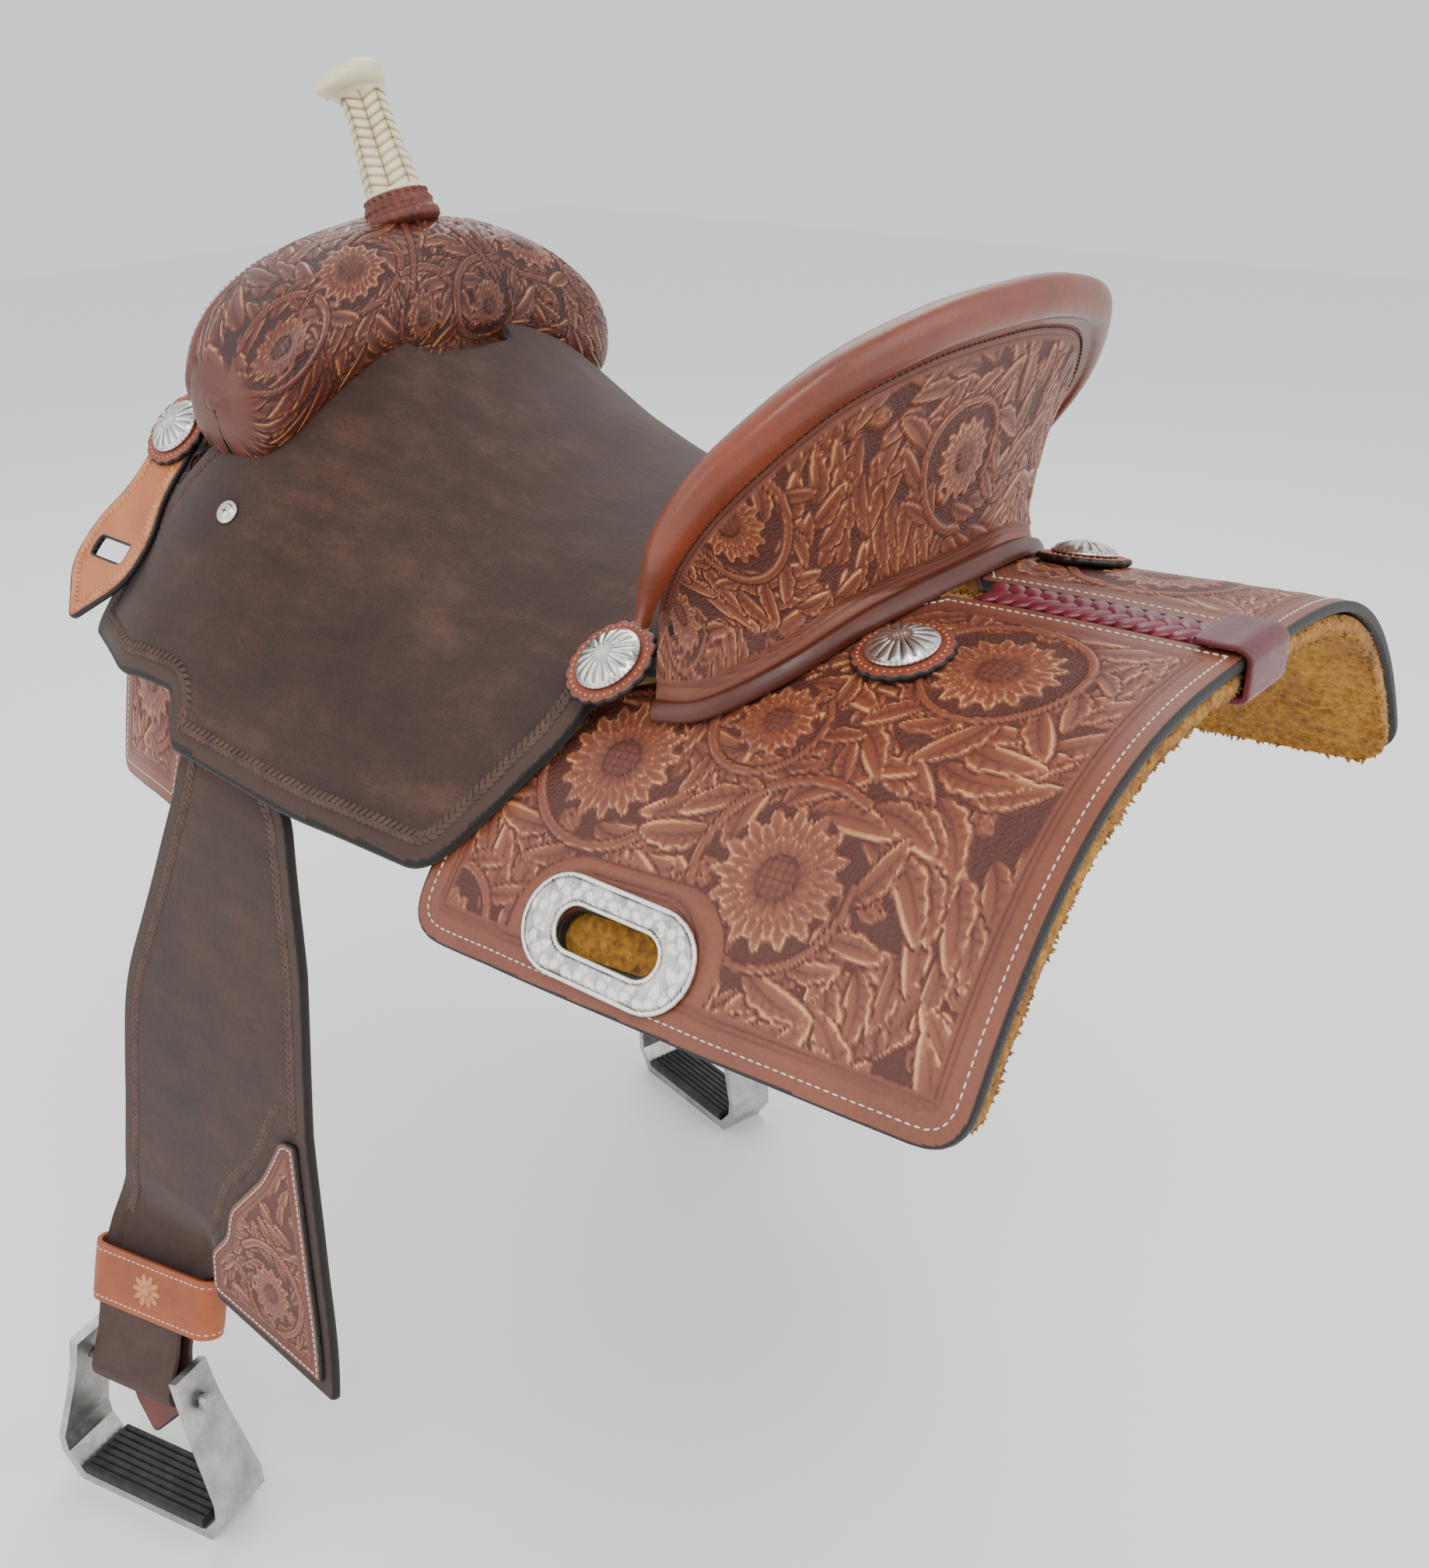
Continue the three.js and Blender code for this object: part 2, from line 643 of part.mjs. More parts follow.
function seatOutline() {
  const half = seatHalf();
  const rim = [];
  for (const t of [0.04, 0.12, 0.2, 0.28, 0.36, 0.44]) {
    const p = rimCurve.getPoint(t);
    const q = rimCurve.getPoint(t + 0.01).sub(rimCurve.getPoint(t - 0.01));
    const side = new THREE.Vector2(-q.y, q.x).normalize();
    rim.push([p.x + side.x * RIM_INSIDE, p.y + side.y * RIM_INSIDE, 0]);
  }
  const near = [...half.slice(1), ...rim];
  const off = near.slice().reverse().map(([x, y, r]) => [-x, y, r]);
  return outline([half[0], ...near, ...off]);
}

// The ground seat fills the tree between the bars and the seat leather.
const groundShape = outline([[-100, -142, 12], [100, -142, 12], [100, -112, 12], [54, -84, 10], [54, 112, 10],
  [-54, 112, 10], [-54, -84, 10], [-100, -112, 12]]);
const groundSeat = toSolid(sheet(groundShape, SEAT_STEP, (u, v, w) => onSeat(
  u, v, -SEAT_THICK - SEAT_LIFT - (1 - w) * GROUND_THICK), SEAT_STEP));
add('ground_seat', toGeometry(groundSeat.subtract(barRoom).subtract(belowTree)), 'wood');

// ---------------------------------------------------------------- cantle
// Even steps from 0 to 1.
function evenShares(count) {
  return Array.from({ length: count + 1 }, (_, i) => i / count);
}

// Points up the cantle's back at a station: share 0 is the foot and 1 the rim.
function backOfCantle(t, share, inward) {
  const foot = footCurve.getPoint(t);
  const rim = rimCurve.getPoint(t);
  const p = foot.clone().lerp(rim, share);
  const along = rimCurve.getPoint(Math.min(t + 0.01, 1)).sub(rimCurve.getPoint(Math.max(t - 0.01, 0)));
  const normal = along.cross(rim.clone().sub(foot)).normalize();
  if (normal.y < 0) normal.negate();
  const hollow = 5 * Math.sin(Math.PI * share);
  return p.addScaledVector(normal, -hollow - inward);
}

function cantleBack(grow) {
  const rings = evenShares(26).map((t) => {
    const inT = 0.03 - grow / 400 + (0.94 + grow / 200) * t;
    const rim = rimCurve.getPoint(inT);
    const foot = footCurve.getPoint(inT);
    const high = 1 - (ROLL_R + 1.5 - grow) / rim.distanceTo(foot);
    const shares = [0.03 - 0.02 * grow, high * 0.35, high * 0.7, high];
    const outer = shares.map((s) => backOfCantle(inT, s, -grow).toArray());
    const inner = shares.map((s) => backOfCantle(inT, s, BACK_COVER + grow).toArray()).reverse();
    return [...outer, ...inner];
  });
  return loft(rings);
}
add('cantle_back_cover', cantleBack(0), 'tooled');

const seatSheet = sheet(seatOutline(), SEAT_STEP, (u, v, w) => onSeat(u, v, (w - 1) * SEAT_THICK), SEAT_STEP);
const seatLeather = toSolid(seatSheet).subtract(forkBody(-1.5)).subtract(toSolid(cantleBack(1)));
add('seat_leather', toGeometry(largest(seatLeather)), 'roughout');

function cantleRoll() {
  const rings = evenShares(28).map((t) => {
    const inT = 0.002 + 0.996 * t;
    const mid = rimCurve.getPoint(inT);
    const along = rimCurve.getTangent(inT);
    const out = backOfCantle(inT, 1, 0).sub(backOfCantle(inT, 0.7, 0)).normalize();
    const side = new THREE.Vector3().crossVectors(along, out).normalize();
    const radius = ROLL_R * Math.min(1, 0.35 + 6 * Math.min(t, 1 - t));
    const ring = [];
    for (let k = 0; k < 10; k += 1) {
      const a = 2 * Math.PI * k / 10;
      ring.push(mid.clone().addScaledVector(out, radius * Math.cos(a)).addScaledVector(side, radius * Math.sin(a))
        .toArray());
    }
    return ring;
  });
  return loft(rings);
}
add('cantle_roll', cantleRoll(), 'roll');

// The smooth band that fills the corner between the cantle's back and the skirts.
function cantleWelt() {
  const rings = evenShares(26).map((t) => {
    const inT = 0.02 + 0.96 * t;
    const foot = backOfCantle(inT, 0, 0);
    const up = backOfCantle(inT, 0.02, 0);
    const away = backOfCantle(inT, 0.02, -8).sub(up).setZ(0).normalize();
    const low = foot.clone().addScaledVector(away, 6);
    const [top, drop, half, full] = station(BACK, low.y);
    const lowZ = top - drop * Math.abs(low.x / half) ** full + 2;
    const high = up.clone().addScaledVector(away, 0.8);
    return [
      [high.x, high.y, high.z],
      [high.x + away.x * 3.5, high.y + away.y * 3.5, high.z],
      [low.x + away.x * 4, low.y + away.y * 4, lowZ],
      [low.x, low.y, lowZ],
    ];
  });
  return loft(rings);
}
add('cantle_welt', cantleWelt(), 'tooled');

function cantleCore() {
  const front = 128;
  const rings = evenShares(20).map((t) => {
    const inT = 0.12 + 0.76 * t;
    const inner = [0.04, 0.3, 0.52, 0.74].map((share) => backOfCantle(inT, share, BACK_COVER + 1).toArray());
    const [low, high] = [inner[0], inner[3]];
    return [...inner, [high[0], front, high[2]], [low[0], front, low[2]]];
  });
  return toSolid(loft(rings)).subtract(aboveSeat).subtract(belowTree).subtract(barRoom);
}
add('cantle_core', toGeometry(cantleCore()), 'wood');

// ---------------------------------------------------------------- conchos, screws and latigo keepers
function placed(geometry, at, normal, spin = new THREE.Vector3(0, 1, 0)) {
  const z = normal.clone().normalize();
  const x = new THREE.Vector3().crossVectors(spin, z).normalize();
  const y = new THREE.Vector3().crossVectors(z, x);
  const m = new THREE.Matrix4().makeBasis(x, y, z).setPosition(at);
  return welded(geometry).applyMatrix4(m);
}

function turned(profile, sides) {
  return new THREE.LatheGeometry(profile.map(([r, h]) => new THREE.Vector2(r, h)), sides).rotateX(Math.PI / 2);
}

function faceOf(surface, u, v, lift) {
  const at = new THREE.Vector3(...surface(u, v, lift));
  const normal = new THREE.Vector3(...surface(u, v, lift + 1)).sub(at);
  return { at, normal };
}

const rosette = turned([[0, 0], [ROSETTE_R, 0], [ROSETTE_R, ROSETTE_THICK], [0, ROSETTE_THICK]], 20);
const domeBase = ROSETTE_THICK + GAP;
const concho = turned([[0, domeBase], [CONCHO_R, domeBase], [CONCHO_R, domeBase + 2], [14, domeBase + 5],
  [7, domeBase + 7], [0, domeBase + 7.5]], 16);

function conchoPair(name, { at, normal }, lift) {
  const unit = normal.clone().normalize();
  const base = at.clone().addScaledVector(unit, lift);
  pair(`rosette_${name}`, placed(rosette, base, unit), 'tooled');
  pair(`concho_${name}`, placed(concho, base, unit), 'silver');
}

const keeperFace = faceOf(onBack, ...FRONT_CONCHO, KEEPER_LIFT);
conchoPair('front', keeperFace, LEATHER_THICK + GAP);
conchoPair('middle', faceOf(onSeat, ...MIDDLE_CONCHO, 0), MIDDLE_LIFT);
conchoPair('rear', faceOf(onBack, ...REAR_CONCHO, 0), REAR_LIFT);

function latigoKeeper() {
  const shape = outline([[19, 20, 16], [-19, 20, 16], [-21, -45, 12], [-33, -72, 12], [-34, -104, 16],
    [0, -140, 6], [34, -104, 16], [33, -72, 12], [21, -45, 12]]);
  shape.holes.push(outline([[-18, -82, 3], [18, -82, 3], [18, -95, 3], [-18, -95, 3]]));
  const g = new THREE.ExtrudeGeometry(shape, { depth: LEATHER_THICK, bevelEnabled: false, curveSegments: 4 });
  return placed(g, keeperFace.at, keeperFace.normal, new THREE.Vector3(0, 0, 1));
}
pair('latigo_keeper', latigoKeeper(), 'keeper');

const screwHead = turned([[0, 0], [7.5, 0], [7.5, 1.5], [5.5, 3], [0, 3]], 16);
const screwFace = faceOf(onSeat, 174, -193, GAP);
pair('jockey_screw', placed(screwHead, screwFace.at, screwFace.normal), 'steel');

// ---------------------------------------------------------------- fender and stirrup chain
const along = new THREE.Vector3(-Math.sin(CHAIN_YAW), Math.cos(CHAIN_YAW), 0);
const outwards = new THREE.Vector3(Math.cos(CHAIN_YAW), Math.sin(CHAIN_YAW), 0);
const zUp = new THREE.Vector3(0, 0, 1);
const strapUp = outwards.clone().multiplyScalar(-Math.sin(CHAIN_LEAN)).addScaledVector(zUp, Math.cos(CHAIN_LEAN));
const strapOut = outwards.clone().multiplyScalar(Math.cos(CHAIN_LEAN)).addScaledVector(zUp, Math.sin(CHAIN_LEAN));

// A point of the fender at y and height, `lift` out from its middle. Low down it turns to face the stirrup.
function onFender(y, height, lift) {
  const [x] = station(FENDER_LINE, height);
  const slope = (station(FENDER_LINE, height + 1)[0] - x);
  const flatOut = new THREE.Vector3(1, 0, -slope).normalize();
  const flat = new THREE.Vector3(x, y, height).addScaledVector(flatOut, lift);
  const turnedTo = BOLT.clone().addScaledVector(along, y - BOLT.y)
    .addScaledVector(strapUp, (height - BOLT.z) / Math.cos(CHAIN_LEAN)).addScaledVector(strapOut, lift);
  const turn = smoothstep((-425 - height) / 58) * smoothstep((-160 - y) / 27);
  return flat.lerp(turnedTo, turn).toArray();
}

const FENDER_EDGE = [[-176, -70, 10], [-130, -70, 16], [-80, -114, 16], [-67, -213, 0], [-62, -317, 0],
  [-38, -498, 3], [-170, -484, 4], [-193, -502, 6], [-193, -540, 8], [-281, -540, 8], [-284, -500, 10],
  [-270, -440, 0], [-262, -370, 0], [-254, -281, 30], [-186, -125, 20]];
pair('fender', sheet(outline(FENDER_EDGE), 36, (u, v, w) => onFender(u, v, (w - 0.5) * FENDER_THICK)), 'roughout');

const PATCH_EDGE = [[-47, -487, 3], [-70, -325, 3], [-84, -326, 6], [-104, -362, 10], [-140, -402, 8],
  [-145, -425, 6], [-163, -446, 6], [-161, -476, 6]];
pair('fender_patch', sheet(outline(PATCH_EDGE), 36, (u, v, w) => onFender(
  u, v, FENDER_THICK / 2 + PATCH_GAP + w * PATCH_THICK)), 'tooled');

const strapBack = -FENDER_THICK / 2 - STRAP_GAP;
const STRAP_EDGE = [[-206, -9, 12], [-178, -9, 12], [-172, -40, 6], [-136, -92, 20], [-158, -300, 40],
  [-204, -478, 4], [-266, -478, 4], [-236, -300, 40], [-180, -112, 10], [-184, -62, 6], [-206, -36, 8]];
pair('stirrup_leather', sheet(outline(STRAP_EDGE), 36, (u, v, w) => onFender(
  u, v, strapBack - LEATHER_THICK + w * LEATHER_THICK)), 'roughout');
const buckleEdge = outline([[-268, -446, 5], [-200, -446, 5], [-200, -408, 5], [-268, -408, 5]]);
pair('blevins_buckle', sheet(buckleEdge, 36, (u, v, w) => onFender(
  u, v, strapBack - LEATHER_THICK - 4 + w * 3)), 'steel');

// Stands a geometry drawn with X along the bolt, Y up the strap and Z outwards at the bolt.
function atBolt(g, up, out) {
  const m = new THREE.Matrix4().makeBasis(along, up, out).setPosition(BOLT);
  return outward(welded(g).applyMatrix4(m));
}

// The loop is drawn as its edge-on outline, then turned so that its width lies along the bolt.
function loopStrap() {
  const edge = new THREE.Shape();
  const leg = FENDER_THICK / 2 + STRAP_GAP;
  const inner = ROLLER_R + LOOP_GAP;
  const outer = inner + LEATHER_THICK;
  const top = LOOP_TOP;
  edge.moveTo(leg + LEATHER_THICK, top);
  edge.lineTo(leg + LEATHER_THICK, 24);
  edge.quadraticCurveTo(outer, 12, outer, 2);
  edge.absarc(0, 0, outer, 0.1, -Math.PI - 0.1, true);
  edge.quadraticCurveTo(-outer, 12, -leg - LEATHER_THICK, 24);
  edge.lineTo(-leg - LEATHER_THICK, top);
  edge.lineTo(-leg, top);
  edge.lineTo(-leg, 22);
  edge.quadraticCurveTo(-inner, 11, -inner, 1);
  edge.absarc(0, 0, inner, -Math.PI - 0.05, 0.05, false);
  edge.quadraticCurveTo(inner, 11, leg, 22);
  edge.lineTo(leg, top);
  edge.closePath();
  const g = new THREE.ExtrudeGeometry(edge, { depth: 2 * LOOP_HALF, bevelEnabled: false, curveSegments: 10 });
  g.translate(0, 0, -LOOP_HALF);
  g.rotateY(Math.PI / 2);
  return atBolt(g, strapUp, strapOut);
}
pair('stirrup_loop', loopStrap(), 'roughout');

function strapTail() {
  const shape = outline([[-25, 18, 4], [25, 18, 4], [25, -26, 12], [0, -52, 4], [-25, -26, 12]]);
  const g = new THREE.ExtrudeGeometry(shape, { depth: TAIL_THICK, bevelEnabled: false, curveSegments: 4 });
  g.translate(4, 0, -ROLLER_R - LOOP_GAP - LEATHER_THICK - 1 - TAIL_THICK);
  return atBolt(g, strapUp, strapOut);
}
pair('strap_tail', strapTail(), 'tooled');

function hobbleStrap() {
  const ring = (grow) => {
    const half = HOBBLE_HALF + grow;
    const thick = FENDER_THICK / 2 + STRAP_GAP + LEATHER_THICK + 1 + grow;
    const shape = new THREE.Shape();
    shape.absarc(half - thick, 0, thick, -Math.PI / 2, Math.PI / 2, false);
    shape.absarc(-half + thick, 0, thick, Math.PI / 2, 3 * Math.PI / 2, false);
    shape.closePath();
    return shape;
  };
  const shape = ring(HOBBLE_WALL);
  shape.holes.push(ring(0));
  const g = new THREE.ExtrudeGeometry(shape, { depth: HOBBLE_TALL, bevelEnabled: false, curveSegments: 6 });
  g.rotateX(-Math.PI / 2);
  g.translate(10, HOBBLE_FOOT, 0);
  return atBolt(g, strapUp, strapOut);
}
pair('hobble_strap', hobbleStrap(), 'roll');

function stirrup() {
  const half = [[50, 24], [55, 0], [61, -25], [78, -76], [78, -92], [63, -114]];
  const inner = [[43, 22], [48, 0], [55, -25], [72, -76], [71, -90], [59, -105]];
  const path = new THREE.Shape();
  path.moveTo(...half[0]);
  for (const p of half.slice(1)) path.lineTo(...p);
  for (const [x, y] of half.slice().reverse()) path.lineTo(-x, y);
  for (const [x, y] of inner) path.lineTo(-x, y);
  for (const p of inner.slice().reverse()) path.lineTo(...p);
  path.closePath();
  const g = new THREE.ExtrudeGeometry(path, { depth: STIRRUP_DEPTH, bevelEnabled: false });
  g.translate(0, 0, -STIRRUP_DEPTH / 2);
  const p = g.attributes.position;
  for (let i = 0; i < p.count; i += 1) {
    p.setZ(i, p.getZ(i) * (1 - 0.32 * smoothstep((p.getY(i) + 80) / 100)));
  }
  const hole = new THREE.CylinderGeometry(BOLT_R + 0.4, BOLT_R + 0.4, 200, 16).rotateZ(Math.PI / 2);
  return atBolt(toGeometry(toSolid(g).subtract(toSolid(hole))), zUp, outwards);
}
pair('stirrup', stirrup(), 'aluminium');

function stirrupBolt() {
  const r = ROLLER_R;
  const half = [[r, 0], [r, 38], [BOLT_R, 38], [BOLT_R, 59], [7, 59], [7, 63], [0, 63]];
  const profile = [...half.slice(1).reverse().map(([a, h]) => [a, -h]), ...half.slice(1)];
  const g = new THREE.LatheGeometry(profile.map(([a, h]) => new THREE.Vector2(a, h)), 12).rotateZ(-Math.PI / 2);
  return atBolt(g, zUp, outwards);
}
pair('stirrup_bolt', stirrupBolt(), 'steel');

function stirrupTread() {
  const ribs = 8;
  const pitch = TREAD_DEPTH / ribs;
  const low = -105 + GAP;
  const shape = new THREE.Shape();
  shape.moveTo(-TREAD_DEPTH / 2, low);
  shape.lineTo(TREAD_DEPTH / 2, low);
  for (let i = 0; i < ribs; i += 1) {
    const x = TREAD_DEPTH / 2 - i * pitch;
    shape.lineTo(x, TREAD_Z - 2);
    shape.lineTo(x - pitch * 0.15, TREAD_Z);
    shape.lineTo(x - pitch * 0.75, TREAD_Z);
    if (i < ribs - 1) shape.lineTo(x - pitch * 0.9, TREAD_Z - 2);
  }
  shape.lineTo(-TREAD_DEPTH / 2, TREAD_Z - 2);
  shape.closePath();
  const g = new THREE.ExtrudeGeometry(shape, { depth: TREAD_LEN, bevelEnabled: false });
  g.translate(0, 0, -TREAD_LEN / 2);
  g.rotateY(-Math.PI / 2);
  return atBolt(g, zUp, outwards);
}
pair('stirrup_tread', stirrupTread(), 'rubber');

export default saddle;
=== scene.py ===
# Western saddle: the fine surface of every piece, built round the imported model.
# Blender objects are in metres; every length in the shape code below is in millimetres.
# Outlines of flat pieces are lists of (u, v, corner radius) on the face that carries the piece.
import math
import bpy
import numpy as np
from mathutils import Matrix, Vector
from mathutils.geometry import delaunay_2d_cdt


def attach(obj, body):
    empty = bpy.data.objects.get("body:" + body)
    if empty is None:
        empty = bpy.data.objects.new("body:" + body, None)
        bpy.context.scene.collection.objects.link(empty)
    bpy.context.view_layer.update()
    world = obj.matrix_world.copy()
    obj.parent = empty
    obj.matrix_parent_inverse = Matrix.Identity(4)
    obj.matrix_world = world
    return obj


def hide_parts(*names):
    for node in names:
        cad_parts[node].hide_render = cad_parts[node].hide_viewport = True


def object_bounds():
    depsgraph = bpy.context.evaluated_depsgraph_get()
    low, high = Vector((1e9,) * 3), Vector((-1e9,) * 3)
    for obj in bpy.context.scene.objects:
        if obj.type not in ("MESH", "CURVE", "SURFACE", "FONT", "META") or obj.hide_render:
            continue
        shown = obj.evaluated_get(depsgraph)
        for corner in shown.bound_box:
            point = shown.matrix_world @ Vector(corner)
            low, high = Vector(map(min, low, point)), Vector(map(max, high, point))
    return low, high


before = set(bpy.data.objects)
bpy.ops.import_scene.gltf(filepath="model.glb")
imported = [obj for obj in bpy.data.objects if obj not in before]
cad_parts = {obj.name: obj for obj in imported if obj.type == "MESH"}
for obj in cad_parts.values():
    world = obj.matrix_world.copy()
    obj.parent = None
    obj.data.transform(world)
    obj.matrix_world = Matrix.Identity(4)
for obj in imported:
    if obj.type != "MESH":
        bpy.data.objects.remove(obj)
CAD_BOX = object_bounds()
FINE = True

# ---------------------------------------------------------------- camera
AZIMUTH, ELEVATION, ROLL = math.radians(129.70), math.radians(25.62), math.radians(-0.77)
CAMERA_AT = (0.7248, 0.6405, 0.3013)
cam_data = bpy.data.cameras.new("camera")
cam_data.lens = 37.54
cam_data.sensor_width = 36
camera = bpy.data.objects.new("camera", cam_data)
bpy.context.scene.collection.objects.link(camera)
back = Vector((math.sin(AZIMUTH) * math.cos(ELEVATION), -math.cos(AZIMUTH) * math.cos(ELEVATION),
               math.sin(ELEVATION)))
level = (-back).cross(Vector((0, 0, 1))).normalized()
upright = level.cross(-back)
right = level * math.cos(ROLL) + upright * math.sin(ROLL)
up = upright * math.cos(ROLL) - level * math.sin(ROLL)
camera.matrix_world = Matrix.Translation(CAMERA_AT) @ Matrix((right, up, back)).transposed().to_4x4()
bpy.context.scene.camera = camera

# ---------------------------------------------------------------- the saddle's curved faces, in millimetres
# The back: y, height on the centre line, drop to the lower edge, half width there, fullness
BACK = [(-325, 85, 256, 197, 4.2), (-250, 74, 232, 221, 3.9), (-150, 46, 196, 238, 3.4),
        (-50, 22, 165, 250, 2.9), (60, 8, 144, 258, 2.6), (240, 19, 150, 258, 2.9), (378, 22, 145, 258, 3.4)]
# The seat's upper face, in the same terms
SEAT = [(-300, 75, 147, 220, 2.6), (-240, 104, 170, 235, 2.5), (-190, 120, 214, 250, 2.3),
        (-110, 78, 184, 254, 2.15), (-30, 46, 158, 254, 2.2), (60, 34, 150, 250, 2.35),
        (130, 40, 150, 250, 2.35), (240, 60, 150, 250, 2.4)]
# The cantle's rim: (x, distance up the leaning plane that rises from its foot)
RIM_FOOT_Y, RIM_FOOT_Z, RIM_LEAN = 137, 38, math.radians(54)
RIM = [(157, -20), (171, 12), (178, 42), (175, 70), (160, 96), (122, 130), (62, 148), (0, 152)]
RIM_TALL, RIM_HALF, DISH_DEPTH, DISH_FRONT, DISH_MID = 152, 178, 44, 15, 50
ROLL_R, BACK_COVER = 15, 4
# Where the cantle's back meets the skirts: x, y, z
CANTLE_FOOT = [(153, 125, 16), (148, 156, 21), (118, 185, 27), (62, 200, 27), (0, 204, 24)]
# The fork: x, y of its middle, half depth, top, bottom
FORK = [(0, -222, 50, 180, 84), (60, -222, 53, 170, 84), (90, -221, 54, 159, 76), (115, -220, 52, 146, 64),
        (133, -218, 47, 133, 54), (147, -216, 38, 119, 52), (156, -214, 26, 106, 66), (160, -213, 10, 95, 82)]
SKIRT_THICK, FLEECE_GAP, FLEECE_THICK, SEAT_THICK = 6, 1.5, 12, 5
# The near stirrup's bolt, and how far the stirrup's plane is turned about Z and leans outwards
BOLT = np.array((314.0, -243.0, -585.0))
YAW, LEAN = math.radians(13), math.radians(18)
# The fender's middle face: z, x
FENDER_LINE = [(-600, 318), (-483, 287), (-400, 276), (-317, 266), (-213, 251), (-117, 238), (-90, 228),
               (-60, 211), (-22, 190)]


def smoothstep(t):
    k = np.clip(t, 0, 1)
    return k * k * (3 - 2 * k)


def hill(x, middle, width):
    """1 where x is at the middle, falling away smoothly within about its width."""
    return np.exp(-(((x - middle) / width) ** 2))


def round_top(q):
    """A half circle's height over q from -1 to 1, and 0 beyond."""
    return np.sqrt(np.clip(1 - q * q, 0, 1))


def between(grid, x, y):
    """The grid's value at column x and row y, interpolated."""
    x, y = np.clip(x, 0, grid.shape[1] - 1.001), np.clip(y, 0, grid.shape[0] - 1.001)
    i, j = x.astype(int), y.astype(int)
    a, b = x - i, y - j
    return (grid[j, i] * (1 - a) * (1 - b) + grid[j, i + 1] * a * (1 - b) + grid[j + 1, i] * (1 - a) * b
            + grid[j + 1, i + 1] * a * b)


def lengths(points):
    """Distance along a polyline at each of its points."""
    return np.concatenate([[0], np.cumsum(np.linalg.norm(np.diff(points, axis=0), axis=1))])


def resample(at, run, points):
    """Points of a polyline at the distances at; run is its lengths()."""
    return np.stack([np.interp(at, run, column) for column in points.T], 1)


def numbers(*values):
    return np.broadcast_arrays(*(np.asarray(v, float) for v in values))


def station(table, y):
    """Values of a station table at y, passing smoothly through every station."""
    t = np.asarray(table, float)
    y = np.asarray(y, float)
    ys, vals = t[:, 0], t[:, 1:]
    last = len(ys) - 1
    slopes = np.empty_like(vals)
    slopes[1:-1] = (vals[2:] - vals[:-2]) / (ys[2:] - ys[:-2])[:, None]
    slopes[0] = (vals[1] - vals[0]) / (ys[1] - ys[0])
    slopes[-1] = (vals[-1] - vals[-2]) / (ys[-1] - ys[-2])
    i = np.clip(np.searchsorted(ys, y, side="left") - 1, 0, last - 1)
    span = ys[i + 1] - ys[i]
    k = ((y - ys[i]) / span)[..., None]
    a, b, m0, m1 = vals[i], vals[i + 1], slopes[i] * span[..., None], slopes[i + 1] * span[..., None]
    inner = ((2 * k**3 - 3 * k * k + 1) * a + (k**3 - 2 * k * k + k) * m0 + (3 * k * k - 2 * k**3) * b
             + (k**3 - k * k) * m1)
    out = np.where(k < 0, a + m0 * k, np.where(k > 1, b + m1 * (k - 1), inner))
    return np.moveaxis(out, -1, 0)


def arch(table, x, y):
    """Height of the arch that a station table describes."""
    top, drop, half, full = station(table, y)
    return top - drop * np.abs(x / half) ** full


def back_at(t, y):
    """A point on the skirts' upper face, t the share of the half width."""
    top, drop, half, full = station(BACK, y)
    return np.stack([half * t, y + 0 * t, top - drop * np.abs(t) ** full], -1)


# Share of the half width by distance along the leather, tabulated once for every V and U.
_V = np.arange(-345.0, 400.1, 3)
_U = np.arange(0.0, 520.1, 2)
_T = np.arange(0.0, 1.81, 0.01)
_top, _drop, _half, _full = station(BACK, _V)
_mid = (_T[:-1] + 0.005)[None, :]
_fall = _drop[:, None] * _full[:, None] * _mid ** (_full[:, None] - 1)
_run = np.concatenate([np.zeros((len(_V), 1)), np.cumsum(np.hypot(_half[:, None], _fall) * 0.01, axis=1)], 1)
SHARE = np.array([np.interp(_U, row, _T) for row in _run])


def share_at(across, y):
    return between(SHARE, np.asarray(across, float) / 2, (np.asarray(y, float) + 345) / 3)


def across_at(y):
    return float(np.interp(1.0, np.array([share_at(u, y) for u in _U]), _U))


def unit(v):
    """The vectors at length 1."""
    return v / np.maximum(np.linalg.norm(v, axis=-1, keepdims=True), 1e-9)


def on_back(u, v, lift=0.0):
    """A point on the skirts' upper face, u along the leather from the centre line, negative on the off side."""
    u, v = numbers(u, v)
    s = share_at(np.abs(u), v)
    p = back_at(s, v)
    n = unit(np.cross(back_at(s + 0.01, v) - back_at(s - 0.01, v), back_at(s, v + 2) - back_at(s, v - 2)))
    p = p + n * np.asarray(lift)[..., None]
    p[..., 0] *= np.where(u < 0, -1, 1)
    return p


def seat_height(x, y):
    plain = arch(SEAT, x, y)
    u = (y - RIM_FOOT_Y) / math.cos(RIM_LEAN)
    tall = np.where(u > DISH_MID, RIM_TALL - DISH_MID, DISH_MID + 12)
    out = (np.abs(x / RIM_HALF) ** 2.6 + np.abs((u - DISH_MID) / tall) ** 2.6) ** (1 / 2.6)
    dish = (RIM_FOOT_Z + u * math.sin(RIM_LEAN) + DISH_FRONT * smoothstep(u / 90)
            - DISH_DEPTH * (1 - np.minimum(out, 1) ** 2) ** 1.6 - 170 * np.maximum(out - 1, 0))
    soft = 14                  # width of the blend between the seat and the dish in the cantle's front
    return plain + soft * np.logaddexp(0, (dish - plain) / soft)


def on_seat(x, y, lift=0.0):
    x, y = numbers(x, y)
    dx = (seat_height(x + 1, y) - seat_height(x - 1, y)) / 2
    dy = (seat_height(x, y + 1) - seat_height(x, y - 1)) / 2
    n = unit(np.stack([-dx, -dy, np.ones_like(dx)], -1))
    return np.stack([x, y, seat_height(x, y)], -1) + n * np.asarray(lift)[..., None]


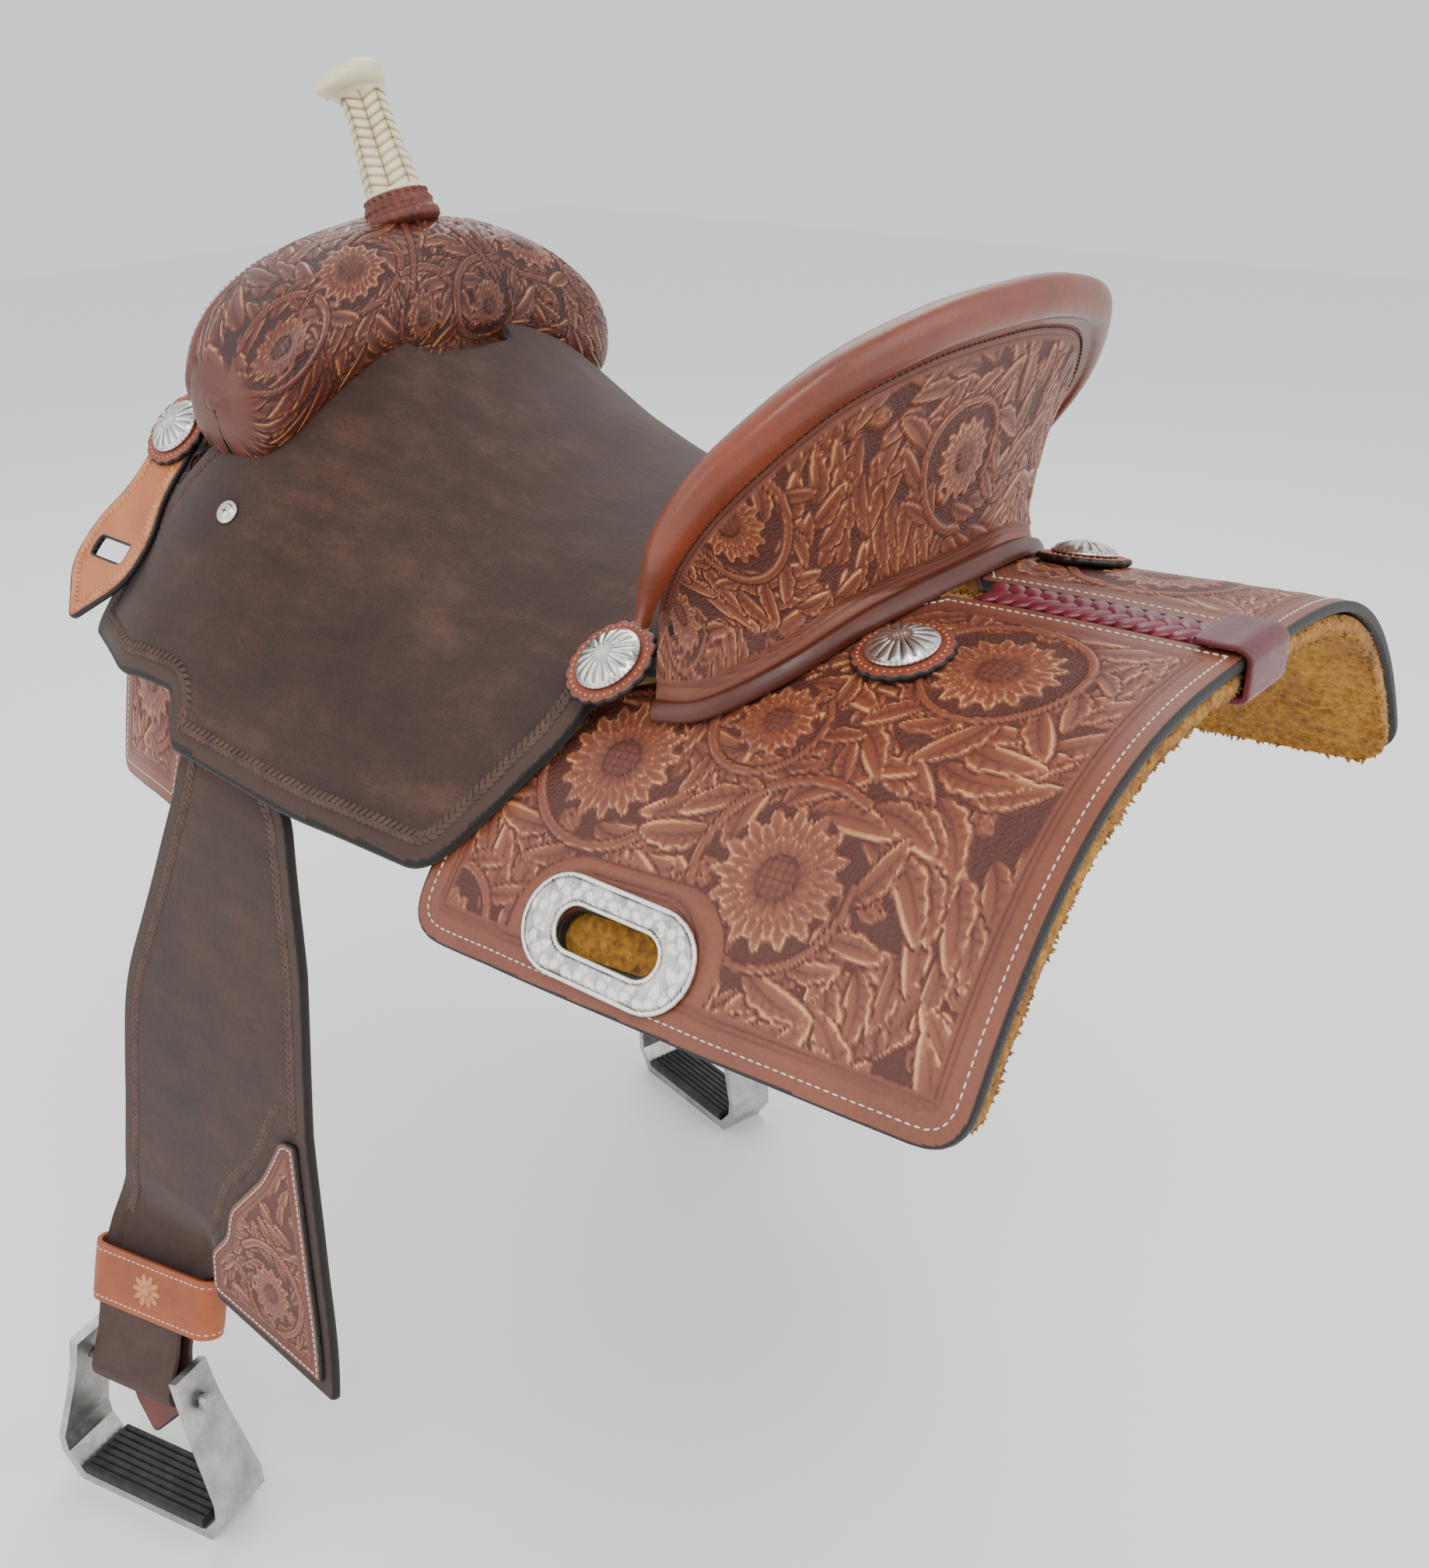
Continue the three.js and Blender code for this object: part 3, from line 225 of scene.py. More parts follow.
class Spline:
    """A centripetal Catmull-Rom curve through points, open, by even shares of its spans."""

    def __init__(self, points):
        p = np.asarray(points, float)
        self.p = np.vstack([2 * p[0] - p[1], p, 2 * p[-1] - p[-2]])

    def at(self, t):
        t = np.clip(np.asarray(t, float), 0, 1) * (len(self.p) - 3)
        i = np.minimum(t.astype(int), len(self.p) - 4)
        w = (t - i)[..., None]
        p0, p1, p2, p3 = (self.p[i + k] for k in range(4))
        d0, d1, d2 = (np.sum((b - a) ** 2, -1, keepdims=True) ** 0.25
                      for a, b in ((p0, p1), (p1, p2), (p2, p3)))
        m1 = ((p1 - p0) / d0 - (p2 - p0) / (d0 + d1) + (p2 - p1) / d1) * d1
        m2 = ((p2 - p1) / d1 - (p3 - p1) / (d1 + d2) + (p3 - p2) / d2) * d1
        return (p1 + m1 * w + (-3 * p1 + 3 * p2 - 2 * m1 - m2) * w**2 + (2 * p1 - 2 * p2 + m1 + m2) * w**3)


def both_ways(points):
    return list(points) + [(-q[0], *q[1:]) for q in points[-2::-1]]


rim = Spline([(x, RIM_FOOT_Y + s * math.cos(RIM_LEAN), RIM_FOOT_Z + s * math.sin(RIM_LEAN))
              for x, s in both_ways(RIM)])
foot = Spline(both_ways(CANTLE_FOOT))


def on_cantle(t, share, inward=0.0):
    """A point on the cantle's back: t from the near end of the rim to the off end, share from foot to rim."""
    t, share = numbers(t, share)
    low, high = foot.at(t), rim.at(t)
    n = unit(np.cross(rim.at(t + 0.01) - rim.at(t - 0.01), high - low))
    n = n * np.where(n[..., 1:2] < 0, -1, 1)
    return low + (high - low) * share[..., None] - n * (5 * np.sin(math.pi * share) + inward)[..., None]


def on_fork(x, a, lift=0.0):
    """A point on the fork: x across, a the angle round its section from the rear towards the top."""
    x, a = numbers(x, a)
    y, deep, top, low = station(FORK, np.minimum(np.abs(x), 160))
    end = np.sqrt(np.clip((162 - np.abs(x)) / 4, 0, 1))
    deep, tall = deep * end, (top - low) / 2 * end
    c, s = np.cos(a), np.sin(a)
    return np.stack([x, y + (deep + lift) * np.sign(c) * np.abs(c) ** 0.8,
                     (top + low) / 2 + (tall + lift) * np.sign(s) * np.abs(s) ** 0.8], -1)


ALONG = np.array((-math.sin(YAW), math.cos(YAW), 0))
OUT = np.array((math.cos(YAW), math.sin(YAW), 0))
STRAP_UP = -OUT * math.sin(LEAN) + np.array((0, 0, math.cos(LEAN)))
STRAP_OUT = OUT * math.cos(LEAN) + np.array((0, 0, math.sin(LEAN)))


def on_fender(y, h, lift=0.0):
    y, h = numbers(y, h)
    lift = np.asarray(lift, float)
    (x,), (x1,) = station(FENDER_LINE, h), station(FENDER_LINE, h + 1)
    n = unit(np.stack([np.ones_like(x), np.zeros_like(x), x - x1], -1))
    flat = np.stack([x, y, h], -1) + n * lift[..., None]
    turned = (BOLT + ALONG * (y - BOLT[1])[..., None] + STRAP_UP * ((h - BOLT[2]) / math.cos(LEAN))[..., None]
              + STRAP_OUT * lift[..., None])
    k = (smoothstep((-425 - h) / 58) * smoothstep((-160 - y) / 27))[..., None]
    return flat + (turned - flat) * k


def at_bolt(a, b, c):
    """A point by its distance along the bolt, up the strap and outwards."""
    a, b, c = numbers(a, b, c)
    return BOLT + ALONG * a[..., None] + STRAP_UP * b[..., None] + STRAP_OUT * c[..., None]


# ---------------------------------------------------------------- making pieces
def parts_of(piece):
    """Points, faces and point attributes of a piece, which may lack the last."""
    return (*piece, {})[:3]


def make(name, piece, material, body, hides=()):
    """A Blender piece. Its points are in millimetres, its faces a list of arrays of quads or triangles."""
    verts, faces, attrs = parts_of(piece)
    loops = np.concatenate([np.asarray(g, np.int32).ravel() for g in faces])
    sizes = np.concatenate([np.full(len(g), np.shape(g)[1], np.int32) for g in faces])
    me = bpy.data.meshes.new(name)
    me.vertices.add(len(verts))
    me.vertices.foreach_set("co", (np.asarray(verts, np.float64) / 1000).astype(np.float32).ravel())
    me.loops.add(len(loops))
    me.loops.foreach_set("vertex_index", loops)
    me.polygons.add(len(sizes))
    me.polygons.foreach_set("loop_start", np.concatenate([[0], np.cumsum(sizes)[:-1]]).astype(np.int32))
    me.polygons.foreach_set("use_smooth", np.ones(len(sizes), bool))
    me.materials.append(material)
    for key, values in {"rim": np.zeros(len(verts)), **attrs}.items():
        me.attributes.new(key, "FLOAT", "POINT").data.foreach_set("value", np.asarray(values, np.float32))
    me.update(calc_edges=True)
    me.validate()
    obj = bpy.data.objects.new(name, me)
    bpy.context.scene.collection.objects.link(obj)
    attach(obj, body)
    if hides:
        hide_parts(*hides)
    return obj


def flip(faces):
    return [np.asarray(f)[:, ::-1] for f in faces]


def pair(name, piece, material, body, hides=()):
    """The same piece on both sides. A body or node name ending in _ gets near or off added."""
    verts, faces, attrs = parts_of(piece)
    made = []
    for side, x in (("near", 1), ("off", -1)):
        full = lambda word: word + side if word.endswith("_") else word
        half = np.asarray(verts) * (x, 1, 1), faces if x > 0 else flip(faces), attrs
        made.append(make(f"{name}_{side}", half, material, full(body), [full(h) for h in hides]))
    return made


def outward(verts, faces):
    """The faces, turned so that the piece's inside is behind them."""
    volume = 0
    for g in faces:
        for k in range(1, g.shape[1] - 1):
            corner, b, c = verts[g[:, 0]], verts[g[:, k]], verts[g[:, k + 1]]
            volume += np.einsum("ij,ij->i", corner, np.cross(b, c)).sum()
    return faces if volume > 0 else flip(faces)


def round_outline(points, per=6):
    """A closed outline with rounded corners: points are (u, v, corner radius)."""
    out = []
    n = len(points)
    for i in range(n):
        here = np.array(points[i][:2], float)
        r = points[i][2] if len(points[i]) > 2 else 0
        if r == 0:
            out.append(here)
            continue
        a = here + unit(np.array(points[i - 1][:2], float) - here) * r
        b = here + unit(np.array(points[(i + 1) % n][:2], float) - here) * r
        for t in np.linspace(0, 1, per + 1):
            out.append((1 - t) ** 2 * a + 2 * t * (1 - t) * here + t * t * b)
    return np.array(out)


def even(loop, step):
    """Points at even spacing round a closed polyline."""
    p = np.vstack([loop, loop[:1]])
    run = lengths(p)
    return resample(np.linspace(0, run[-1], max(int(round(run[-1] / step)), 3) + 1)[:-1], run, p)


def area_of(loop):
    x, y = loop[:, 0], loop[:, 1]
    return 0.5 * np.sum(x * np.roll(y, -1) - y * np.roll(x, -1))


EDGE_REACH = 46                # how far in from an edge its distance is measured


class Cut:
    """A flat piece of leather: an outline (and holes) filled with a grid, and what its edge needs."""

    def __init__(self, outline, step, holes=(), fine=1.5):
        loops = [even(np.asarray(o), fine) for o in (outline, *holes)]
        loops = [p if (area_of(p) > 0) == (i == 0) else p[::-1] for i, p in enumerate(loops)]
        self.loops, self.step = loops, step
        lo = loops[0].min(0) - 2 * step
        size = np.ceil((loops[0].max(0) + 2 * step - lo) / step).astype(int) + 1
        us, vs = lo[0] + step * np.arange(size[0]), lo[1] + step * np.arange(size[1])
        self.u, self.v = np.meshgrid(us, vs)
        shape = self.u.shape
        inside = np.zeros(shape, bool)
        best = np.full(shape, 1e9)
        self.near = np.zeros((*shape, 2))
        self.inward = np.zeros((*shape, 2))
        for p in loops:
            q = np.roll(p, -1, 0)
            tangent = unit(np.roll(p, -1, 0) - np.roll(p, 1, 0))
            for k in range(len(p)):
                a, b = p[k], q[k]
                if a[1] != b[1]:
                    j0, j1 = sorted((a[1], b[1]))
                    rows = slice(int(np.ceil((j0 - lo[1]) / step)), int(np.ceil((j1 - lo[1]) / step)))
                    x = a[0] + (self.v[rows] - a[1]) * (b[0] - a[0]) / (b[1] - a[1])
                    inside[rows] ^= self.u[rows] < x
                low = np.maximum((np.minimum(a, b) - EDGE_REACH - lo) / step, 0).astype(int)
                high = ((np.maximum(a, b) + EDGE_REACH - lo) / step).astype(int) + 1
                w = (slice(low[1], high[1]), slice(low[0], high[0]))
                d = b - a
                t = np.clip(((self.u[w] - a[0]) * d[0] + (self.v[w] - a[1]) * d[1]) / (d @ d), 0, 1)
                nx, ny = a[0] + t * d[0], a[1] + t * d[1]
                dist = np.hypot(self.u[w] - nx, self.v[w] - ny)
                closer = dist < best[w]
                best[w] = np.where(closer, dist, best[w])
                self.near[w] = np.where(closer[..., None], np.stack([nx, ny], -1), self.near[w])
                m = (1 - t)[..., None] * tangent[k] + t[..., None] * tangent[(k + 1) % len(p)]
                self.inward[w] = np.where(closer[..., None], np.stack([-m[..., 1], m[..., 0]], -1),
                                          self.inward[w])
        self.depth = np.where(inside, best, -best)

    def grid(self, bevel):
        """The grid inside the outline, whose outermost points lie on the outline drawn in by bevel."""
        deep = self.depth - bevel
        solid = deep > 0.3 * self.step
        n = solid.copy()
        n[1:] |= solid[:-1]
        n[:-1] |= solid[1:]
        m = n.copy()
        m[:, 1:] |= n[:, :-1]
        m[:, :-1] |= n[:, 1:]
        rim = m & ~solid
        inward = unit(self.inward)
        u = np.where(rim, self.near[..., 0] + inward[..., 0] * bevel, self.u)
        v = np.where(rim, self.near[..., 1] + inward[..., 1] * bevel, self.v)
        use = solid | rim
        full = use[:-1, :-1] & use[1:, :-1] & use[:-1, 1:] & use[1:, 1:]
        some = solid[:-1, :-1] | solid[1:, :-1] | solid[:-1, 1:] | solid[1:, 1:]
        cells = np.argwhere(full & some)
        ids = np.arange(use.size).reshape(use.shape)
        j, i = cells[:, 0], cells[:, 1]
        quads = np.stack([ids[j, i], ids[j, i + 1], ids[j + 1, i + 1], ids[j + 1, i]], 1)
        used, quads = np.unique(quads, return_inverse=True)
        quads = quads.reshape(-1, 4)
        pick = lambda a: a.reshape(-1, *a.shape[2:])[used]
        depth = np.where(rim, bevel, self.depth)
        return np.stack([pick(u), pick(v)], 1), pick(depth), pick(rim), pick(inward), quads


BACK_SPACING = 22              # between points on the plain inner face of a sheet


def rim_edges(quads):
    """The edges that only one of the quads has."""
    e = np.concatenate([quads[:, [k, (k + 1) % quads.shape[1]]] for k in range(quads.shape[1])])
    key = np.sort(e, 1)
    _, first, count = np.unique(key, axis=0, return_index=True, return_counts=True)
    return e[first[count == 1]]


def coarse_fill(uv, edges, spacing):
    """Triangles inside a set of edge loops, with extra points on a wide grid."""
    ring = np.unique(edges)
    back_id = np.full(len(uv), -1)
    back_id[ring] = np.arange(len(ring))
    lo, hi = uv.min(0), uv.max(0)
    g = np.stack(np.meshgrid(*(np.arange(lo[k], hi[k], spacing) for k in (0, 1))), -1).reshape(-1, 2)
    far = np.ones(len(g), bool)
    rim_pts = uv[ring]
    for start in range(0, len(g), 4000):
        d = np.abs(g[start:start + 4000, None] - rim_pts[None]).max(-1).min(1)
        far[start:start + 4000] = d > spacing * 0.3
    g = g[far]
    pts = np.vstack([rim_pts, g])
    links = [tuple(int(back_id[i]) for i in e) for e in edges]
    out = delaunay_2d_cdt([Vector(p) for p in pts], links, [], 1, 1e-4)
    new, tris = np.array([tuple(v) for v in out[0]]), np.array([f for f in out[2] if len(f) == 3])
    # A triangle is kept where a line from its middle crosses the edges an odd number of times.
    mid = new[tris].mean(1)
    a, b = uv[edges[:, 0]], uv[edges[:, 1]]
    odd = np.zeros(len(mid), bool)
    for p, q in zip(a, b):
        if p[1] == q[1]:
            continue
        hit = (p[1] > mid[:, 1]) != (q[1] > mid[:, 1])
        odd ^= hit & (mid[:, 0] < p[0] + (mid[:, 1] - p[1]) * (q[0] - p[0]) / (q[1] - p[1]))
    return ring, new, tris[odd], out[3]


def stretch_of(place, uv, way):
    """How many millimetres on the curved face one flat millimetre becomes, in the direction way."""
    ahead = uv + way
    flat = np.zeros(len(uv))
    return np.clip(np.linalg.norm(place(*ahead.T, flat) - place(*uv.T, flat), axis=1), 0.5, 4)


def leather(cut, place, thick, relief, bevel=0.9, edge_bow=0.35):
    """A solid sheet with a detailed outer face, a rounded edge and a plain inner face.

    cut is its flat shape, place(u, v, lift) its face, and relief(uv, depth) gives lift and tone on it.
    Returns points, faces and the attributes tone, rim (1 on the edge) and depth (from the edge inwards).
    """
    uv, depth, on_rim, inward, quads = cut.grid(bevel)
    lift, tone = relief(uv, depth * np.where(depth < 60, stretch_of(place, uv, inward), 1))
    top = place(*uv.T, np.where(on_rim, 0, lift))
    edges = rim_edges(quads)
    ring, where = np.unique(edges, return_inverse=True)
    where = where.reshape(-1, 2)
    verts, faces, prev = [top], [quads], ring[where]
    count = len(top)
    tones, rims, depths = [tone], [np.where(on_rim, 1.0, 0.0)], [depth]

    def add(points, rim_value):
        verts.append(points)
        tones.append(np.zeros(len(points)))
        rims.append(np.full(len(points), rim_value))
        depths.append(np.zeros(len(points)))

    # Each ring of the edge: outwards in bevels, and down from the outer face.
    for out, down in ((0.7, -0.25), (1.0, -0.9), (1.0 + edge_bow, -thick / 2), (1.0, 0.9 - thick),
                      (0.6, 0.1 - thick)):
        p = uv[ring] - inward[ring] * bevel * out
        add(place(*p.T, np.full(len(p), down)), 1.0)
        now = count + where
        faces.append(np.stack([prev[:, 1], prev[:, 0], now[:, 0], now[:, 1]], 1))
        prev = now
        count += len(p)
    fill_ring, pts, tris, origin = coarse_fill(uv[ring] - inward[ring] * bevel * 0.6, where, BACK_SPACING)
    # The fill's own points follow the edge's; points of the edge are shared with the last ring.
    ids = np.arange(len(pts)) + count
    start = count - len(ring)
    for new, olds in enumerate(origin):
        for old in olds:
            if old < len(fill_ring):
                ids[new] = start + fill_ring[old]
    faces.append(ids[tris][:, ::-1])
    add(place(*pts.T, np.full(len(pts), 0.1 - thick)), 0.5)
    verts = np.concatenate(verts)
    used = np.zeros(len(verts), bool)
    for f in faces:
        used[f] = True
    renumber = np.cumsum(used) - 1
    faces = [renumber[f] for f in faces]
    pack = lambda parts: np.concatenate(parts)[used]
    attrs = {"tone": pack(tones), "rim": pack(rims), "depth": pack(depths)}
    return verts[used], outward(verts[used], faces), attrs


def follow(cut, place, inset, pitch, offset=0.0):
    """Points, ways along, normals and flat points at even steps on a line inside a piece's edge."""
    p = cut.loops[0]
    t = unit(np.roll(p, -1, 0) - np.roll(p, 1, 0))
    n = np.stack([-t[:, 1], t[:, 0]], 1)
    stretch = stretch_of(place, p, n)
    q = p + n * (inset / stretch)[:, None]
    # Points that an offset line folds over at a tight corner are dropped.
    back = np.sum((np.roll(q, -1, 0) - q) * t, 1) > 0.1
    clear = np.ones(len(q), bool)
    for k in range(0, len(q), 400):
        d = np.linalg.norm(q[k:k + 400, None] - p[None], axis=2).min(1)
        clear[k:k + 400] = d > np.minimum(inset / stretch, 1e3)[k:k + 400] * 0.93 - 0.05
    q = q[back & clear]
    q = np.vstack([q, q[:1]])
    run = lengths(place(*q.T, np.zeros(len(q))))
    total = run[-1]
    at = np.arange(offset, total - 1e-6, total / max(round(total / pitch), 1))
    a, b, flat = resample(at, run, q), resample(at + 0.6, run, q), np.zeros(len(at))
    here = place(*a.T, flat)
    return here, unit(place(*b.T, flat) - here), unit(place(*a.T, flat + 1) - here), a


def scatter(here, forward, normal, piece):
    """Copies of a small piece at every point, its X turned forward and its Z to the normal."""
    t, faces = piece
    axes = np.stack([forward, np.cross(normal, forward), normal], 1)
    v = (here[:, None] + np.einsum("ij,kjl->kil", t, axes)).reshape(-1, 3)
    step = (np.arange(len(here)) * len(t))[:, None, None]
    return v, [(np.asarray(g)[None] + step).reshape(-1, len(g[0])) for g in faces]


def bead(length, width, height, slant=0.0, sink=0.4, around=10):
    """A low closed dome with an oval foot, for a stamp in leather, and a capsule for a stitch."""
    a = np.arange(around) * 2 * math.pi / around
    rings = []
    for r, z in ((1.0, -sink), (0.97, height * 0.35), (0.7, height * 0.85)):
        x, y = np.cos(a) * length / 2 * r, np.sin(a) * width / 2 * r
        rings.append(np.stack([x + slant * y, y, np.full(around, z)], 1))
    v = np.vstack([*rings, [[0, 0, height]], [[0, 0, -sink]]])
    i = np.arange(around)
    j = (i + 1) % around
    band = np.stack([i, j, j + around, i + around], 1)
    quads = np.concatenate([band, band + around])
    tip = 3 * around
    tris = np.concatenate([np.stack([i + 2 * around, j + 2 * around, np.full(around, tip)], 1),
                           np.stack([j, i, np.full(around, tip + 1)], 1)])
    return v, [quads, tris]


def joined(parts):
    """Several (points, faces) as one."""
    verts, quads, tris, count = [], [], [], 0
    for v, groups in parts:
        verts.append(v)
        for g in groups:
            (quads if np.shape(g)[1] == 4 else tris).append(np.asarray(g) + count)
        count += len(v)
    faces = [np.concatenate(g) for g in (quads, tris) if g]
    return np.concatenate(verts), faces


def lattice(points, wrap_u=False, wrap_v=False):
    """Quads over a (rows, columns, 3) grid of points."""
    rows, cols = points.shape[:2]
    ids = np.arange(rows * cols).reshape(rows, cols)
    if wrap_u:
        ids = np.concatenate([ids, ids[:1]])
    if wrap_v:
        ids = np.concatenate([ids, ids[:, :1]], 1)
    return np.stack([ids[:-1, :-1], ids[1:, :-1], ids[1:, 1:], ids[:-1, 1:]], -1).reshape(-1, 4)


def capped(points):
    """A closed solid from rings of points (rings, around, 3)."""
    quads = lattice(points, wrap_v=True)
    rows, cols = points.shape[:2]
    verts = np.vstack([points.reshape(-1, 3), points[0].mean(0), points[-1].mean(0)])
    i = np.arange(cols)
    j = (i + 1) % cols
    m = rows * cols
    tris = np.concatenate([np.stack([i, j, np.full(cols, m)], 1),
                           np.stack([j + m - cols, i + m - cols, np.full(cols, m + 1)], 1)])
    return verts, outward(verts, [quads, tris])


def turned(profile, around=64, wave=None):
    """A solid of revolution about Z from (radius, height) pairs that start and end on the axis."""
    prof = np.asarray(profile, float)
    a = np.arange(around) * 2 * math.pi / around
    pts = np.stack([prof[:, None, 0] * np.cos(a), prof[:, None, 0] * np.sin(a),
                    np.repeat(prof[:, 1:2], around, 1)], -1)
    if wave is not None:
        pts = wave(pts, a)
    return capped(pts)


def turn_to(verts, at, normal, spin=(0, 1, 0)):
    z = unit(np.asarray(normal, float))
    x = unit(np.cross(spin, z))
    return np.asarray(at) + verts @ np.stack([x, np.cross(z, x), z])


# ---------------------------------------------------------------- materials
def lin(r, g, b):
    return tuple(((c / 255 + 0.055) / 1.055) ** 2.4 if c > 10 else c / 3295 for c in (r, g, b)) + (1.0,)


class Look:
    """A node material: colour from ramps and noise, roughness and bump from noise."""

    def __init__(self, name, rough=0.5, metal=0.0, sheen=0.0, coat=0.0, specular=0.5):
        self.mat = bpy.data.materials.new(name)
        self.mat.use_nodes = True
        self.nodes, self.links = self.mat.node_tree.nodes, self.mat.node_tree.links
        self.shader = self.nodes["Principled BSDF"]
        for socket, value in (("Roughness", rough), ("Metallic", metal), ("Sheen Weight", sheen),
                              ("Coat Weight", coat), ("Specular IOR Level", specular)):
            self.shader.inputs[socket].default_value = value
        if sheen:
            self.shader.inputs["Sheen Roughness"].default_value = 0.6
        self.place = self.nodes.new("ShaderNodeTexCoord")
        self.bumped = None

    def link(self, a, b):
        self.links.new(a, b)

    def noise(self, scale, detail=4, rough=0.55, stretch=None):
        n = self.nodes.new("ShaderNodeTexNoise")
        n.inputs["Scale"].default_value = scale
        n.inputs["Detail"].default_value = detail
        n.inputs["Roughness"].default_value = rough
        self.feed(n, stretch)
        return n.outputs["Fac"]

    def cells(self, scale, feature="F1"):
        n = self.nodes.new("ShaderNodeTexVoronoi")
        n.feature = feature
        n.inputs["Scale"].default_value = scale
        self.feed(n, None)
        return n.outputs["Distance"]

    def feed(self, node, stretch):
        if stretch is None:
            self.link(self.place.outputs["Object"], node.inputs["Vector"])
            return
        m = self.nodes.new("ShaderNodeMapping")
        m.inputs["Scale"].default_value = stretch
        self.link(self.place.outputs["Object"], m.inputs["Vector"])
        self.link(m.outputs["Vector"], node.inputs["Vector"])

    def attr(self, name):
        n = self.nodes.new("ShaderNodeAttribute")
        n.attribute_name = name
        return n.outputs["Fac"]

    def span(self, value, lo, hi, out_lo=0.0, out_hi=1.0):
        n = self.nodes.new("ShaderNodeMapRange")
        for key, v in (("From Min", lo), ("From Max", hi), ("To Min", out_lo), ("To Max", out_hi)):
            n.inputs[key].default_value = v
        self.link(value, n.inputs["Value"])
        return n.outputs["Result"]

    def put(self, socket, value):
        """Sets a socket to a number or a colour, or links it to another node's output."""
        if isinstance(value, (int, float, tuple)):
            socket.default_value = value
        else:
            self.link(value, socket)

    def math(self, op, a, b):
        n = self.nodes.new("ShaderNodeMath")
        n.operation = op
        for socket, value in zip(n.inputs, (a, b)):
            self.put(socket, value)
        return n.outputs[0]

    def ramp(self, value, stops):
        n = self.nodes.new("ShaderNodeValToRGB")
        e = n.color_ramp.elements
        while len(e) < len(stops):
            e.new(0.5)
        for item, (at, colour) in zip(e, stops):
            item.position = at
            item.color = colour
        self.link(value, n.inputs["Fac"])
        return n.outputs["Color"]

    def mix(self, factor, a, b):
        n = self.nodes.new("ShaderNodeMix")
        n.data_type = "RGBA"
        for key, value in (("Factor", factor), (6, a), (7, b)):      # 6, 7: its two colours
            self.put(n.inputs[key], value)
        return n.outputs[2]

    def dark_edge(self, colour):
        """The colour, turned black on a piece's rim."""
        return self.mix(self.span(self.attr("rim"), 0.25, 0.7), colour, BLACK_EDGE)

    def colour(self, out):
        self.link(out, self.shader.inputs["Base Color"])

    def rough(self, out):
        self.link(out, self.shader.inputs["Roughness"])

    def bump(self, value, strength, distance):
        n = self.nodes.new("ShaderNodeBump")
        n.inputs["Strength"].default_value = strength
        n.inputs["Distance"].default_value = distance
        self.link(value, n.inputs["Height"])
        if self.bumped is not None:
            self.link(self.bumped, n.inputs["Normal"])
        self.bumped = n.outputs["Normal"]
        self.link(self.bumped, self.shader.inputs["Normal"])


BLACK_EDGE = lin(24, 18, 17)


def tooled_look(name, ground, low, mid, crest, rough=0.42):
    """Carved leather: coloured by tone from the stippled ground (0) to the leaves' crests (1)."""
    k = Look(name, rough, specular=0.45, coat=0.12)
    k.shader.inputs["Coat Roughness"].default_value = 0.35
    tone = k.attr("tone")
    patch = k.noise(14, 5, 0.6)
    fine = k.noise(420, 3)
    shade = k.math("ADD", tone, k.span(patch, 0.3, 0.7, -0.10, 0.10))
    shade = k.math("ADD", shade, k.span(fine, 0.3, 0.7, -0.05, 0.05))
    k.colour(k.dark_edge(k.ramp(shade, [(0.0, ground), (0.26, low), (0.62, mid), (1.0, crest)])))
    gloss = k.math("ADD", tone, k.span(fine, 0.2, 0.8, -0.15, 0.15))
    k.rough(k.span(gloss, 0.0, 1.0, rough + 0.2, rough - 0.08))
    dots = k.cells(520)
    k.bump(k.math("MULTIPLY", k.span(dots, 0.0, 0.9), k.span(tone, 0.05, 0.25, 1.0, 0.0)), 0.7, 0.0009)
    k.bump(k.noise(900, 3), 0.18, 0.0003)
    return k.mat


def suede_look(name, dark, mid, light, band):
    """Roughout leather: napped and scuffed, with its own colour outside the stamped border (tone 1)."""
    k = Look(name, 0.86, sheen=0.12, specular=0.3)
    cloud = k.noise(9, 6, 0.62)
    scuff = k.noise(60, 5, 0.7, (1, 0.35, 1))
    nap = k.noise(650, 4, 0.7)
    value = k.math("ADD", k.span(cloud, 0.25, 0.75, 0.0, 0.55), k.span(scuff, 0.35, 0.75, 0.0, 0.38))
    value = k.math("ADD", value, k.span(nap, 0.3, 0.7, -0.12, 0.16))
    colour = k.ramp(value, [(0.0, dark), (0.5, mid), (1.0, light)])
    k.colour(k.dark_edge(k.mix(k.span(k.attr("tone"), 0.2, 0.8), colour, band)))
    k.bump(nap, 0.55, 0.0008)
    k.bump(k.noise(130, 4, 0.6), 0.3, 0.0012)
    return k.mat


def plain_look(name, dark, light, rough=0.5, scale=30, grain=500, depth=0.0004, rim=True, **kw):
    """Smooth leather or thread: clouds of two colours, a grain, and a dark edge if it has a rim."""
    k = Look(name, rough, **kw)
    value = k.math("ADD", k.span(k.noise(scale, 5, 0.6), 0.25, 0.75, 0, 0.8),
                   k.span(k.noise(grain, 3), 0.3, 0.7, 0, 0.2))
    colour = k.ramp(value, [(0.0, dark), (1.0, light)])
    k.colour(k.dark_edge(colour) if rim else colour)
    k.rough(k.span(k.noise(grain / 4, 4), 0.2, 0.8, rough - 0.08, rough + 0.1))
    k.bump(k.noise(grain, 4), 0.4, depth)
    return k.mat


